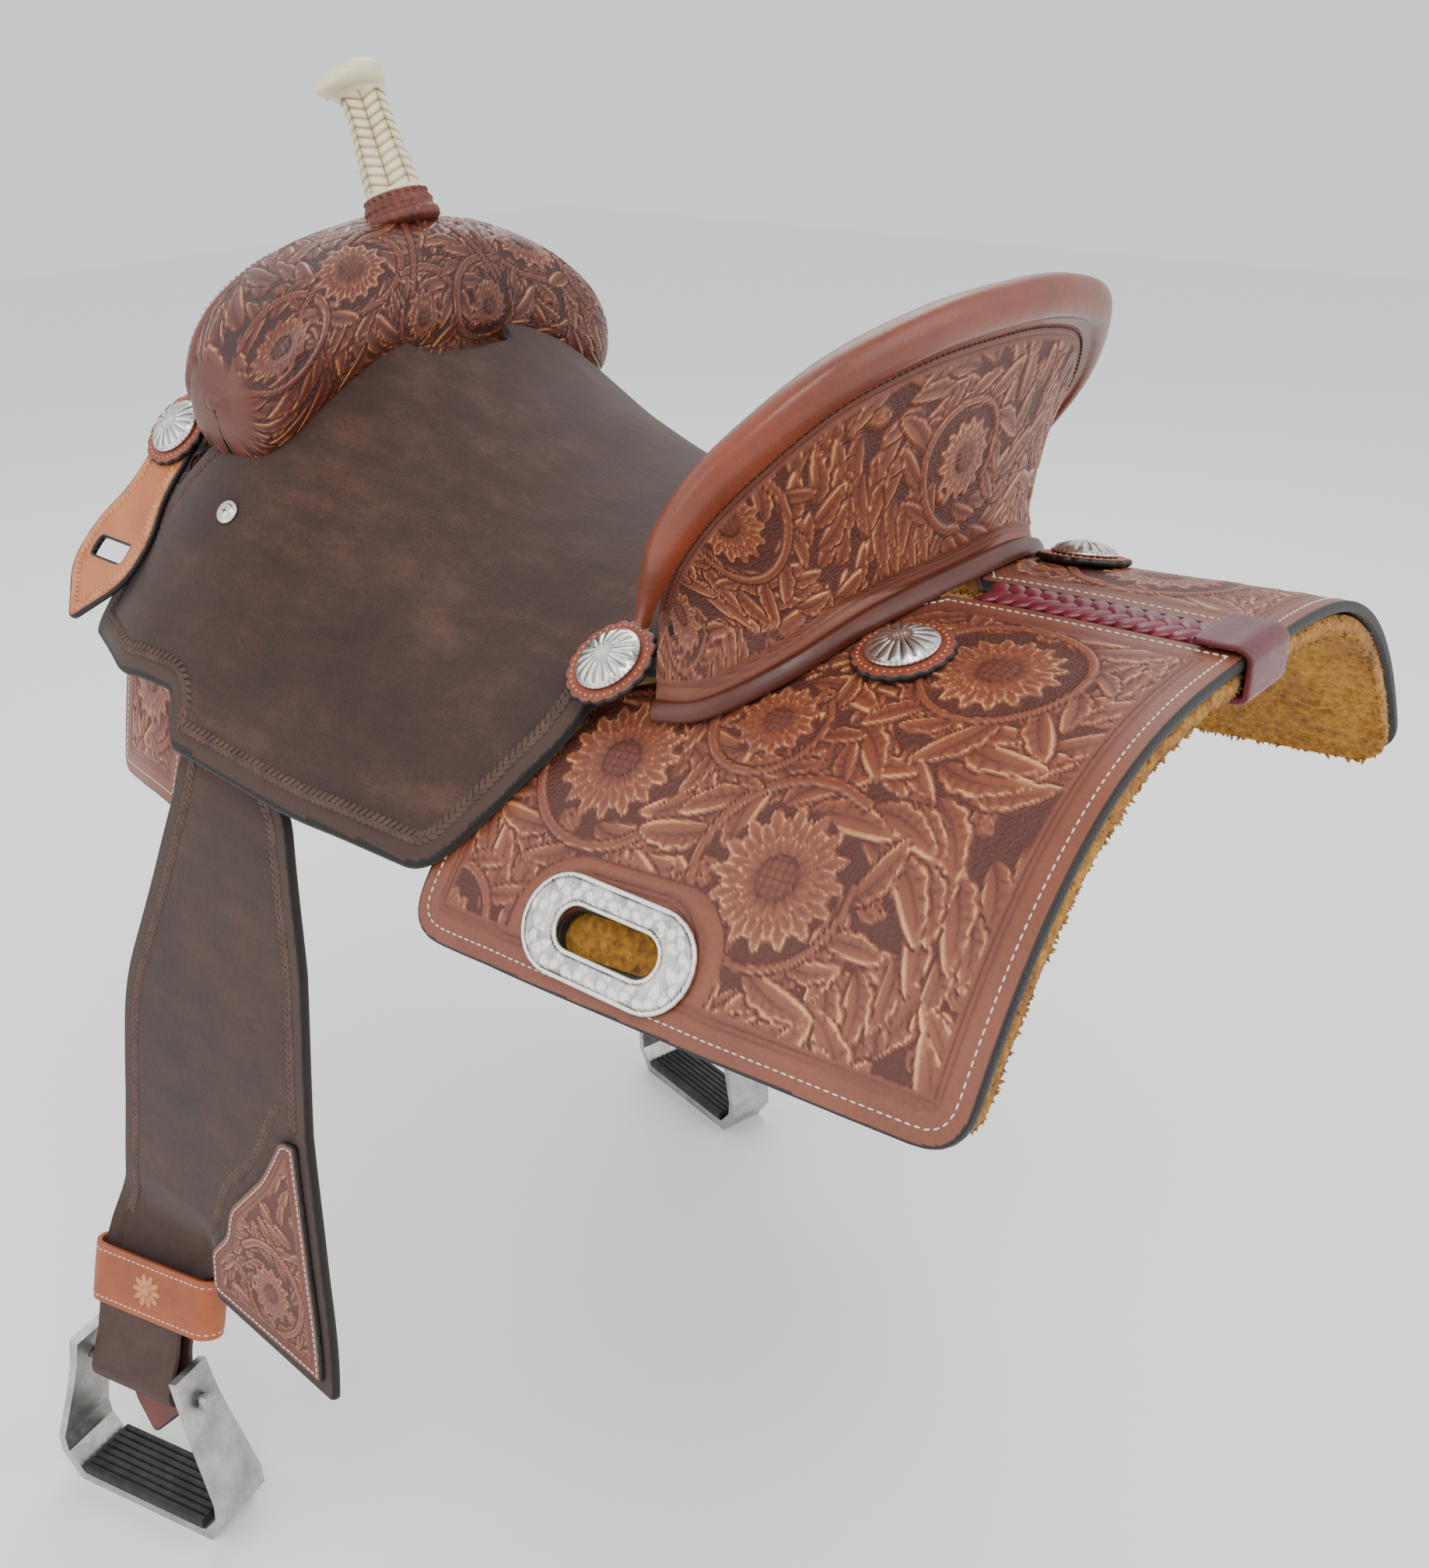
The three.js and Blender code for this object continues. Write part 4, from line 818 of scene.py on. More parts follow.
def metal_look(name, dark, light, rough, scale, scratches=(1, 1, 30), engraved=False):
    """Worn metal. Where it is engraved, it is tarnished where tone is low."""
    k = Look(name, rough, 1.0)
    cloud = k.noise(scale, 5, 0.65)
    if engraved:
        value = k.math("ADD", k.attr("tone"), k.span(cloud, 0.3, 0.7, -0.18, 0.18))
        k.colour(k.ramp(value, [(0.0, dark), (0.55, light), (1.0, light)]))
    else:
        k.colour(k.ramp(cloud, [(0.25, dark), (0.7, light)]))
    k.rough(k.span(k.noise(scale * 3, 5, 0.7, scratches), 0.25, 0.75, rough - 0.08, rough + 0.16))
    k.bump(k.noise(scale * 6, 4, 0.6, scratches), 0.12 if engraved else 0.15, 0.0002)
    return k.mat


TOOLED = tooled_look("tooled_leather", lin(80, 38, 29), lin(104, 52, 37), lin(134, 74, 50), lin(222, 166, 108))
TOOLED_DARK = tooled_look("tooled_mahogany", lin(56, 24, 19), lin(80, 36, 26), lin(108, 54, 36),
                          lin(214, 152, 96), 0.36)
ROUGHOUT = suede_look("roughout", lin(30, 17, 13), lin(58, 34, 26), lin(92, 61, 51), lin(66, 44, 36))
ROUGHOUT_LOW = suede_look("roughout_fender", lin(32, 18, 13), lin(58, 33, 24), lin(84, 52, 38), lin(60, 37, 28))
ROLL = plain_look("roll_leather", lin(76, 32, 20), lin(146, 66, 36), 0.38, 11, 700, 0.0003, coat=0.15)
# The welt's own dark red, darkened further to look like leather in shade: partly its own colour, partly painted
# shade.
WELT = plain_look("welt_leather", lin(60, 23, 16), lin(98, 44, 30), 0.4, 20, 700, 0.0003)
KEEPER = plain_look("keeper_leather", lin(160, 86, 44), lin(204, 126, 74), 0.5, 26, 700, 0.0003)
HOBBLE = plain_look("hobble_leather", lin(122, 56, 28), lin(172, 90, 48), 0.5, 30, 700, 0.0004)
TAIL = plain_look("tail_leather", lin(70, 28, 20), lin(110, 48, 34), 0.42, 26, 700, 0.0003)
STAMP_DARK = plain_look("stamped_roughout", lin(44, 28, 23), lin(92, 62, 50), 0.62, 90, 900, 0.0003, rim=False)
STAMP_TAN = plain_look("stamped_tan", lin(160, 92, 54), lin(224, 156, 104), 0.5, 90, 900, 0.0003, rim=False)
RAWHIDE = Look("rawhide", 0.42, coat=0.2)
_wear = RAWHIDE.span(RAWHIDE.noise(40, 5, 0.6), 0.3, 0.7, -0.08, 0.08)     # small differences in its colour
# The darkest stop is reached only in the gaps between the braid's strands: painted shade.
RAWHIDE.colour(RAWHIDE.ramp(RAWHIDE.math("ADD", RAWHIDE.attr("tone"), _wear),
                            [(0.0, lin(120, 96, 60)), (0.4, lin(206, 190, 146)), (1.0, lin(240, 230, 198))]))
RAWHIDE.bump(RAWHIDE.noise(500, 4), 0.3, 0.0003)
RAWHIDE = RAWHIDE.mat
COLLAR = plain_look("collar_leather", lin(78, 34, 26), lin(120, 60, 42), 0.5, 60, 700, 0.0003, rim=False)
LACING = plain_look("lacing", lin(78, 10, 24), lin(128, 28, 46), 0.38, 50, 800, 0.0003, rim=False, coat=0.2)
LOOP = plain_look("loop_leather", lin(70, 18, 26), lin(108, 34, 42), 0.4, 40, 800, 0.0003, rim=False, coat=0.2)
THREAD, THREAD_BROWN, THREAD_GREY = (
    plain_look(name, dark, light, 0.7, 200, 2500, 0.0003, rim=False)
    for name, dark, light in (("thread", lin(196, 190, 176), lin(236, 232, 222)),
                              ("thread_brown", lin(64, 38, 26), lin(112, 76, 54)),
                              ("thread_grey", lin(150, 146, 138), lin(206, 202, 194))))
STRAP = plain_look("strap_leather", lin(44, 26, 21), lin(76, 48, 38), 0.6, 30, 600, 0.0004)
SILVER = metal_look("silver", lin(70, 66, 62), lin(222, 220, 214), 0.26, 60, engraved=True)
STEEL = metal_look("steel", lin(120, 118, 116), lin(190, 188, 186), 0.3, 90)
ALUMINIUM = metal_look("aluminium", lin(138, 137, 134), lin(196, 195, 192), 0.38, 45, (1, 1, 1))
WOOD = Look("tree_wood", 0.7)
WOOD.colour(WOOD.ramp(WOOD.noise(26, 6, 0.6, (8, 1, 8)), [(0.3, lin(122, 84, 48)), (0.7, lin(176, 136, 88))]))
WOOD.bump(WOOD.noise(60, 5, 0.6, (8, 1, 8)), 0.3, 0.0006)
WOOD = WOOD.mat
RUBBER = Look("rubber", 0.75)
RUBBER.colour(RUBBER.ramp(RUBBER.noise(80, 4), [(0.3, lin(20, 20, 21)), (0.75, lin(52, 50, 49))]))
RUBBER.bump(RUBBER.noise(700, 4), 0.35, 0.0005)
RUBBER = RUBBER.mat
FLEECE = Look("fleece", 0.95, sheen=0.15, specular=0.12)
_curl = FLEECE.noise(230, 5, 0.65)
_matted = FLEECE.span(FLEECE.noise(16, 4), 0.3, 0.7, -0.2, 0.2)
FLEECE.colour(FLEECE.ramp(FLEECE.math("ADD", FLEECE.span(_curl, 0.25, 0.75), _matted),
                          [(0.0, lin(96, 56, 6)), (0.5, lin(158, 104, 18)), (1.0, lin(200, 146, 44))]))
FLEECE.bump(_curl, 0.9, 0.003)
FLEECE.bump(FLEECE.noise(900, 3), 0.5, 0.001)
FLEECE = FLEECE.mat
# A flat dark grey that stands in for shade wherever it is used: painted shadow.
DARK = plain_look("shadow", lin(30, 27, 26), lin(48, 44, 42), 0.6, 40, 600, 0.0002, rim=False)
COVER = plain_look("cover_leather", lin(84, 38, 28), lin(106, 53, 37), 0.44, 30, 700, 0.0003, rim=False)


# ---------------------------------------------------------------- carving
class Carving:
    """Relief in leather, as heights from 0 (ground) to 1 (crest) over a flat box."""

    def __init__(self, lo, hi, pitch=0.7):
        self.lo, self.pitch = np.array(lo, float), pitch
        nx, ny = (np.ceil((np.array(hi) - lo) / pitch)).astype(int) + 1
        self.h, self.t = np.zeros((ny, nx)), np.zeros((ny, nx))

    def near(self, u, v, reach):
        i0, j0 = np.maximum(((np.array((u, v)) - reach - self.lo) / self.pitch).astype(int), 0)
        i1, j1 = ((np.array((u, v)) + reach - self.lo) / self.pitch).astype(int) + 2
        w = (slice(j0, max(j1, 0)), slice(i0, max(i1, 0)))
        h = self.h[w]
        x = self.lo[0] + self.pitch * (i0 + np.arange(h.shape[1])) - u
        y = self.lo[1] + self.pitch * (j0 + np.arange(h.shape[0])) - v
        return w, *np.meshgrid(x, y)

    def lay(self, w, mask, height, tone):
        self.h[w] = np.where(mask, np.clip(height, 0.03, 1.1), self.h[w])
        self.t[w] = np.where(mask, np.clip(tone, 0, 1), self.t[w])

    def leaf(self, u, v, angle, length, width, bend=0.0, lobes=3):
        """An acanthus leaf from its root: curled, with crescent cuts on one side, a vein and a raised rim."""
        w, x, y = self.near(u, v, length * 1.2)
        if x.size == 0:
            return
        c, s = math.cos(angle), math.sin(angle)
        a, b = x * c + y * s, -x * s + y * c
        t = a / length
        b = b - bend * t * t * length
        side = np.where(b * (1 if bend < 0 else -1) > 0, 1.0, 0.0)
        k = np.clip(t, 0, 1)
        bite = 0.5 + 0.5 * np.cos(2 * math.pi * lobes * k)
        half = width * np.sin(math.pi * k**1.1) ** 0.62 * (1 - 0.2 * side * bite**3)
        q = np.abs(b) / np.maximum(half, 1e-3)
        mask = (t > 0) & (t < 1) & (q < 1)
        ridge = hill(q, 0.80, 0.17)
        vein = hill(b, 0, 0.55 + 0.05 * width) * (k < 0.86)
        cut = hill((k * lobes * 2 - q * 0.9) % 1, 0.5, 0.13) * side * (q > 0.2) * (q < 0.78) * (k > 0.12)
        h = 0.40 + 0.34 * round_top(q) + 0.26 * ridge - 0.40 * vein - 0.34 * cut
        h = h * (0.68 + 0.32 * k) - 0.5 * (q > 0.96)
        tone = 0.42 + 0.40 * ridge + 0.24 * k**2 - 0.36 * vein - 0.34 * cut - 0.3 * (q > 0.95)
        self.lay(w, mask, h, tone)
        halo = (t > -0.03) & (t < 1.04) & (q < 1 + 1.1 / np.maximum(half, 1.5)) & ~mask
        self.lay(w, halo, 0 * x, 0 * x)

    def stem(self, points, thick0, thick1):
        """A tapering stem along a smooth curve, with a dark cut on either side."""
        line = Spline(np.asarray(points, float)).at(np.linspace(0, 1, 70))
        mid, reach = (line.min(0) + line.max(0)) / 2, float(np.ptp(line, axis=0).max()) / 2 + thick0 + 3
        w, x, y = self.near(*mid, reach)
        if x.size == 0:
            return
        best, wide = np.full(x.shape, 1e9), np.full(x.shape, thick0)
        for k in range(len(line) - 1):
            a, b = line[k] - mid, line[k + 1] - mid
            d = b - a
            t = np.clip(((x - a[0]) * d[0] + (y - a[1]) * d[1]) / max(d @ d, 1e-9), 0, 1)
            r = np.hypot(x - a[0] - t * d[0], y - a[1] - t * d[1])
            closer = r < best
            best = np.where(closer, r, best)
            wide = np.where(closer, thick0 + (thick1 - thick0) * (k + t) / (len(line) - 1), wide)
        q = best / wide
        ridge = hill(q, 0.72, 0.2)
        self.lay(w, best < wide + 1.1, 0 * x, 0 * x)
        self.lay(w, q < 1, 0.42 + 0.48 * round_top(q) + 0.12 * ridge, 0.42 + 0.48 * ridge)

    def curl(self, u, v, radius, turn=1, start=0.0, thick=2.4):
        """A spiral tendril that ends in an eye."""
        a = np.linspace(0, 3.2 * math.pi, 13)
        r = radius * (1 - a / a[-1] * 0.86)
        way = start + turn * a
        self.stem(np.stack([u + r * np.cos(way), v + r * np.sin(way)], 1), thick, thick * 0.55)
        w, x, y = self.near(u, v, thick)
        d = np.hypot(x, y) / (thick * 0.9)
        self.lay(w, d < 1, 0.5 + 0.5 * round_top(d), 0.95 - 0.5 * d)

    def sunflower(self, u, v, radius, turn, count):
        """Three rows of pointed petals round a disc of seeds."""
        w, x, y = self.near(u, v, radius * 1.12)
        if x.size == 0:
            return
        r, a = np.hypot(x, y), np.arctan2(y, x) + turn
        self.lay(w, r < radius, 0 * x, 0 * x)
        for inner, outer, shift, level in ((0.34, 1.04, 0.0, 0.0), (0.34, 0.88, 0.5, 0.08),
                                           (0.30, 0.62, 0.25, 0.16)):
            p = ((a * count / (2 * math.pi) + shift) % 1) - 0.5
            k = np.clip((r / radius - inner) / (outer - inner), 0, 1)
            half = 0.52 * np.clip(1 - k**2.4, 0, 1) ** 0.65
            q = np.abs(p) / np.maximum(half, 1e-3)
            line = hill(p * r, 0, 1) * (k < 0.75)
            ridge = hill(q, 0.78, 0.2)
            h = (0.34 + level + 0.3 * round_top(q) + 0.2 * ridge - 0.22 * line) * (0.62 + 0.38 * k)
            tone = 0.28 + 0.42 * ridge * (0.4 + 0.6 * k) + 0.42 * k**1.5 - 0.22 * line - 0.3 * (q > 0.94)
            self.lay(w, (q < 1) & (r < outer * radius), h - 0.3 * (q > 0.95), tone)
        disc = r < 0.33 * radius
        seeds = 0.5 + 0.5 * np.cos((x + y) * 2 * math.pi / 4.6) * np.cos((x - y) * 2 * math.pi / 4.6)
        k = np.clip(r / (0.33 * radius), 0, 1)
        self.lay(w, disc, 0.42 + 0.35 * round_top(k) + 0.3 * seeds - 0.6 * (k > 0.92),
                 0.06 + 0.66 * seeds**2 * (1 - 0.3 * k) - 0.3 * (k > 0.92))

    def wreath(self, u, v, radius, spin, start, leaves, length):
        """A stem that winds in round a flower, and the leaves that peel off it outwards."""
        a = start + spin * np.linspace(0, 5.4, 14)
        r = radius + np.linspace(17, 5, 14)
        roots = np.linspace(0.35, 5.2, leaves)
        for j, run in enumerate(roots):
            at, far = start + spin * run, radius + 17 - 12 * run / 5.4
            long = length * (0.8 + 0.14 * (j % 4))
            self.leaf(u + far * math.cos(at), v + far * math.sin(at), at + spin * 0.82, long, long * 0.23,
                      spin * (0.42 if j % 3 else -0.30), 3 + j % 2)
        self.stem(np.stack([u + r * np.cos(a), v + r * np.sin(a)], 1), 2.9, 1.6)

    def fill(self, flowers, spacing, length, seed):
        """Leaves and tendrils that sweep round the flowers, the outermost laid first."""
        rng = np.random.default_rng(seed)
        size = np.array(self.h.shape[::-1]) * self.pitch
        tries = self.lo + rng.random((int(size[0] * size[1] / spacing**2 * 9), 2)) * size
        chosen = np.empty((0, 2))
        for p in tries:
            if len(chosen) == 0 or np.min(np.sum((chosen - p) ** 2, 1)) > spacing**2:
                chosen = np.vstack([chosen, p])
        f = np.array([(u, v) for u, v, _ in flowers])
        rad = np.array([r for _, _, r in flowers])
        gap = np.linalg.norm(chosen[:, None] - f[None], axis=2) - rad[None]
        for i in np.argsort(-gap.min(1)):
            k = int(np.argmin(gap[i]))
            if gap[i, k] < -3:
                continue
            d = chosen[i] - f[k]
            spin = 1.0 if k % 2 == 0 else -1.0
            away = math.atan2(d[1], d[0])
            angle = away + spin * (0.95 - 0.25 * math.sin(gap[i, k] / 14)) + rng.normal(0, 0.22)
            big = length * (0.82 + 0.36 * rng.random())
            if rng.random() < 0.16:
                self.curl(*chosen[i], spacing * 0.50, spin, angle, 1.9)
            else:
                self.leaf(*chosen[i], angle, big, big * 0.25, spin * 0.55, 3 + int(rng.random() * 2))

    def at(self, u, v, tone=False):
        return between(self.t if tone else self.h, (u - self.lo[0]) / self.pitch, (v - self.lo[1]) / self.pitch)


def framed(art, border, plain, depth_mm=1.5):
    """Relief for a carved piece: a plain band at the edge, two grooves, and carving inside."""
    def relief(uv, depth):
        h = art.at(*uv.T)
        inside = smoothstep((depth - border) / 1.5)
        groove = hill(depth, border - 2, 0.9) + 0.8 * hill(depth, border - 5, 0.8)
        lift = np.where(inside > 0, h * depth_mm - 0.55, 0) * inside - 0.5 * groove
        tone = art.at(*uv.T, True) * inside + (1 - inside) * (plain - 0.3 * groove)
        return lift, np.clip(tone, 0, 1)
    return relief


def plain_relief(border=None):
    """Relief for an uncarved piece: tone 1 in the band outside a stamped border, 0 inside it."""
    def relief(uv, depth):
        if border is None:
            return np.zeros(len(uv)), np.zeros(len(uv))
        tone = smoothstep((border - depth) / 4)
        trough = hill(depth, border, 3.6)
        return -0.5 * trough, tone * 0.8
    return relief


STITCH = bead(3.4, 0.95, 0.55, 0.0, 0.3, 8)
STAMP = bead(7.4, 3.7, 0.95, 0.55, 0.8, 10)


def sized(piece, *scale):
    return piece[0] * np.array(scale), piece[1]


def spot_on(face, u, v, lift=0.0):
    """A point of a face and the face's normal there."""
    at = face(u, v, lift)
    return at, unit(face(u, v, lift + 1) - at)


def lifted(face, extra):
    """The same face, further out by extra."""
    return lambda u, v, lift=0.0: face(u, v, extra + np.asarray(lift, float))


def stitches(cut, place, inset, pitch):
    here, forward, normal, _ = follow(cut, place, inset, pitch)
    return scatter(here + normal * 0.1, forward, normal, STITCH)


def rope(cut, place, inset, keep, pitch=4.5, scale=1.0, lift=-0.35):
    """A stamped border where keep(u, v) holds: two rows of slanting ovals, like the strands of a rope."""
    parts = []
    for side in (-1, 1):
        here, forward, normal, uv = follow(cut, place, inset, pitch, pitch / 4 * (side + 1))
        pick = keep(*uv.T)
        here, forward, normal = here[pick], forward[pick], normal[pick]
        across = np.cross(normal, forward)
        turn = math.radians(38) * side
        parts.append(scatter(here + across * side * 1.75 * scale + normal * lift,
                             forward * math.cos(turn) + across * math.sin(turn), normal,
                             sized(STAMP, scale, scale, 1)))
    return joined(parts)


# ---------------------------------------------------------------- skirts
GAP_HALF = 15.5


def skirt_outline(inset):
    low = lambda y: across_at(y) - inset
    rear, front = 378 - inset, -325 + inset
    pts = [(GAP_HALF, 228), (GAP_HALF, rear), (low(rear), rear, 24)]
    pts += [(low(y), y) for y in (320, 240, 160, 100)]
    pts += [(low(50), 40 + inset, 26), (236, 40 + inset, 12), (236, -205 - inset, 12),
            (low(-225), -213 - inset, 12), (low(-270), -270), (low(front), front, 14), (92, front, 20),
            (66, -150), (50, 0), (50, 190, 10), (GAP_HALF, 214)]
    return round_outline(pts)


def stadium(long, tall, u, v, n=14):
    r = tall / 2
    a = np.linspace(0, math.pi, n)
    head = np.stack([u + r * np.cos(a), v + long / 2 - r + r * np.sin(a)], 1)
    tail = np.stack([u - r * np.cos(a), v - long / 2 + r - r * np.sin(a)], 1)
    return np.vstack([head, tail])


PLATE_U, PLATE_V, PLATE_LONG, PLATE_TALL = 281, 171, 108, 52
SLOT_LONG, SLOT_TALL = 64, 22
slot = stadium(SLOT_LONG, SLOT_TALL, PLATE_U, PLATE_V)
skirt = Cut(skirt_outline(0), 1.5 if FINE else 2.4, (slot,))

skirt_art = Carving((20, -330), (440, 382))
FLOWERS = [(190, 126, 34), (229, 246, 35), (88, 286, 32), (345, 110, 27), (352, 300, 28), (150, 200, 22),
           (300, 62, 20), (290, -268, 30), (196, -292, 24), (372, -262, 22)]

skirt_art.fill(FLOWERS, 14.0, 37, 11)
for k, (u, v, r) in enumerate(FLOWERS):
    skirt_art.wreath(u, v, r, 1 if k % 2 else -1, 0.9 + 1.7 * k, *((11, 34) if r > 26 else (8, 22)))
for k, (u, v, r) in enumerate(FLOWERS):
    skirt_art.sunflower(u, v, r, 0.5 * k, 16 if r > 26 else 12)
# A smooth raised ridge lies round the rigging plate.
w, x, y = skirt_art.near(PLATE_U, PLATE_V, 80)
ring = np.hypot(x, np.maximum(np.abs(y) - (PLATE_LONG - PLATE_TALL) / 2, 0))
ridge = round_top((ring - 32.5) / 5)
skirt_art.lay(w, ring < 38.5, np.where(ring < 27.5, 0.35, 0.9 * ridge),
              np.where(ring < 27.5, 0.3, 0.5 * (ridge > 0)))

pair("skirt_leather", leather(skirt, on_back, SKIRT_THICK, framed(skirt_art, 21, 0.46)), TOOLED, "saddle",
     ["skirt_"])
pair("skirt_stitches", stitches(skirt, on_back, 8.0, 4.6), THREAD, "saddle")


# ---------------------------------------------------------------- fleece under the skirts
def under_back(u, v, lift=0.0):
    return on_back(u, v, -SKIRT_THICK - FLEECE_GAP - FLEECE_THICK - np.asarray(lift))


def waves(u, v, size, seed):
    """Smooth lumps from a few crossed waves, between -1 and 1."""
    rng = np.random.default_rng(seed)
    out = np.zeros(np.shape(u))
    for _ in range(9):
        a, k, p = rng.random() * math.pi, 2 * math.pi / (size * (0.7 + 0.9 * rng.random())), rng.random() * 7
        out = out + np.sin((u * math.cos(a) + v * math.sin(a)) * k + p)
    return out / 4.5


def fleece_relief(uv, depth):
    return 1.2 * (waves(*uv.T, 11, 3) + 0.7 * waves(*uv.T, 6, 4) - 1), np.zeros(len(uv))


fleece_cut = Cut(skirt_outline(3), 3.0 if FINE else 4.5)
wool_pad = leather(fleece_cut, under_back, FLEECE_THICK, fleece_relief, bevel=2.5, edge_bow=0.5)
for wool in pair("fleece_pad", wool_pad, FLEECE, "saddle", ["fleece_lining_"]):
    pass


def tufts(cut, count, seed):
    """Curled locks of wool that stand out from the fleece's edge."""
    rng = np.random.default_rng(seed)
    p = cut.loops[0]
    t = unit(np.roll(p, -1, 0) - np.roll(p, 1, 0))
    k = rng.integers(0, len(p), count)
    n = np.stack([t[k, 1], -t[k, 0]], 1)
    q = p[k] - n * 1.8 + t[k] * rng.normal(0, 1, (count, 1))
    drop = -SKIRT_THICK - FLEECE_GAP - 0.8 - (FLEECE_THICK - 1.2) * rng.random(count)
    base = on_back(*q.T, drop)
    out = unit(on_back(*(q + n).T, drop) - base)
    down = unit(on_back(*q.T, drop - 1) - base)
    side = np.cross(out, down)
    lean = rng.normal(0, 0.5, (count, 2))
    way = unit(out + side * lean[:, :1] + down * (0.15 + 0.35 * np.abs(lean[:, 1:])))
    bend = unit(side * rng.normal(0, 1, (count, 1)) + down * rng.normal(0.2, 1, (count, 1)))
    long, wide = 2.2 + 1.6 * rng.random((count, 1)), 0.7 + 0.5 * rng.random((count, 1))
    rings = []
    a1 = unit(np.cross(way, bend))
    a2 = np.cross(way, a1)
    for s, w in ((0.0, 1.0), (0.4, 1.15), (0.75, 0.75)):
        mid = base + way * long * s + bend * long * 0.45 * s * s
        rings.append(np.stack([mid + (a1 * math.cos(g) + a2 * math.sin(g)) * wide * w
                               for g in (0, 2.09, 4.19)], 1))
    tip = base + way * long + bend * long * 0.5
    v = np.concatenate([*rings, tip[:, None]], 1)
    quads = [(r + i, r + (i + 1) % 3, r + 3 + (i + 1) % 3, r + 3 + i) for r in (0, 3) for i in range(3)]
    tris = [(6 + i, 6 + (i + 1) % 3, 9) for i in range(3)] + [(2, 1, 0)]
    off = (np.arange(count) * 10)[:, None, None]
    flat = v.reshape(-1, 3)
    faces = [(np.array(g)[None] + off).reshape(-1, len(g[0])) for g in (quads, tris)]
    return flat, outward(flat, faces)


pair("fleece_locks", tufts(fleece_cut, 7000 if FINE else 1200, 21), FLEECE, "saddle")

# ---------------------------------------------------------------- rear rigging plates
plate_at = on_back(PLATE_U, PLATE_V, 0.0)
plate_down = unit((on_back(PLATE_U + 10, PLATE_V) - plate_at) * np.array((1, 0, 1)))
plate_out = np.array((-plate_down[2], 0, plate_down[0]))


def on_plate(u, v, lift=0.0):
    u, v = numbers(u, v)
    return (plate_at + plate_down * (u - PLATE_U)[..., None] + np.array((0, 1.0, 0)) * (v - PLATE_V)[..., None]
            + plate_out * (4.0 + np.asarray(lift, float))[..., None])


plate = Cut(stadium(PLATE_LONG, PLATE_TALL, PLATE_U, PLATE_V), 0.9, (slot,))
scrolls = Carving((PLATE_U - 32, PLATE_V - 60), (PLATE_U + 32, PLATE_V + 60), 0.35)
ring = even(stadium(PLATE_LONG - 15, PLATE_TALL - 15, PLATE_U, PLATE_V), 1.0)
for k in range(30):
    i, spin = int(k / 30 * len(ring)), 1 if k % 2 else -1
    angle = math.atan2(*(ring[(i + 2) % len(ring)] - ring[i])[::-1])
    scrolls.leaf(*ring[i], angle + 0.5 * spin, 9.5, 3.0, 0.5 * spin, 2)
    scrolls.curl(*(ring[i] + 1.5), 2.6, spin, angle, 0.8)


def plate_relief(uv, depth):
    h = scrolls.at(*uv.T) * smoothstep((depth - 2.6) / 0.6)
    groove = hill(depth, 2.4, 0.5)
    tone = 0.32 + 0.65 * h + 0.4 * (depth < 2) - 0.4 * groove
    return 0.55 * h - 0.3 * groove * (depth < 6), np.clip(tone, 0, 1)


ring_plate = leather(plate, on_plate, 2.4, plate_relief, bevel=0.5)
ring_plate[2]["tone"][ring_plate[2]["rim"] > 0.1] = 0.9
pair("rigging_plate", ring_plate, SILVER, "saddle", ["rear_rigging_plate_"])

# ---------------------------------------------------------------- seat and jockeys
def seat_outline():
    half = [(0, -152), (34, -156, 8), (46, -182, 6), (70, -196, 10), (118, -204, 10), (124, -238, 10),
            (142, -252, 6), (212, -303, 8), (236, -240, 10), (235, -184, 8), (250, -176, 8), (251, -60, 20),
            (245, 42, 14), (222, 66, 16), (178, 98, 20), (148, 92, 10)]
    behind = []
    for t in (0.04, 0.12, 0.2, 0.28, 0.36, 0.44):
        p, q = rim.at(t), rim.at(t + 0.01) - rim.at(t - 0.01)
        side = unit(np.array((-q[1], q[0])))
        behind.append((p[0] + side[0] * 16, p[1] + side[1] * 16))
    near = half[1:] + behind
    return round_outline([half[0], *near, *[(-q[0], *q[1:]) for q in near[::-1]]], 9)


seat = Cut(seat_outline(), 2.2 if FINE else 3.6)


def seat_relief(uv, depth):
    x, y = np.abs(uv[:, 0]), uv[:, 1]
    border = (x > 136) & (y < 96)
    tone = smoothstep((14 - depth) / 4) * border
    trough = hill(depth, 16, 4.2) * border
    dimples = 0.35 * waves(*uv.T, 60, 9)
    return dimples * smoothstep(depth / 20) - 0.55 * trough, tone * 0.8


make("seat_leather_skin", leather(seat, on_seat, SEAT_THICK, seat_relief, bevel=1.0), ROUGHOUT, "saddle",
     ["seat_leather"])
make("seat_border", rope(seat, on_seat, 16, lambda x, y: (np.abs(x) > 141) & (y < 92)), STAMP_DARK, "saddle")

# ---------------------------------------------------------------- fork
FORK_ROUND = 55.0              # turns angles round the fork into millimetres


def on_pommel(p, q, lift=0.0):
    return on_fork(p, math.pi / 2 + np.asarray(q, float) / FORK_ROUND, 0.6 + np.asarray(lift, float))


def arch_angle(x):
    """The angle round the fork at which its front face meets the gullet's arch."""
    s = min(abs(x) / 58, 1)
    t = math.sqrt(1 - s)
    z = 82 * (1 - t) ** 2 + 228 * t * (1 - t) + 114 * t * t
    y, deep, top, low = (float(k) for k in station(FORK, abs(x)))
    rise = min(max(((top + low) / 2 - z) / ((top - low) / 2), 0), 1)
    return math.pi + math.asin(rise ** 1.25)


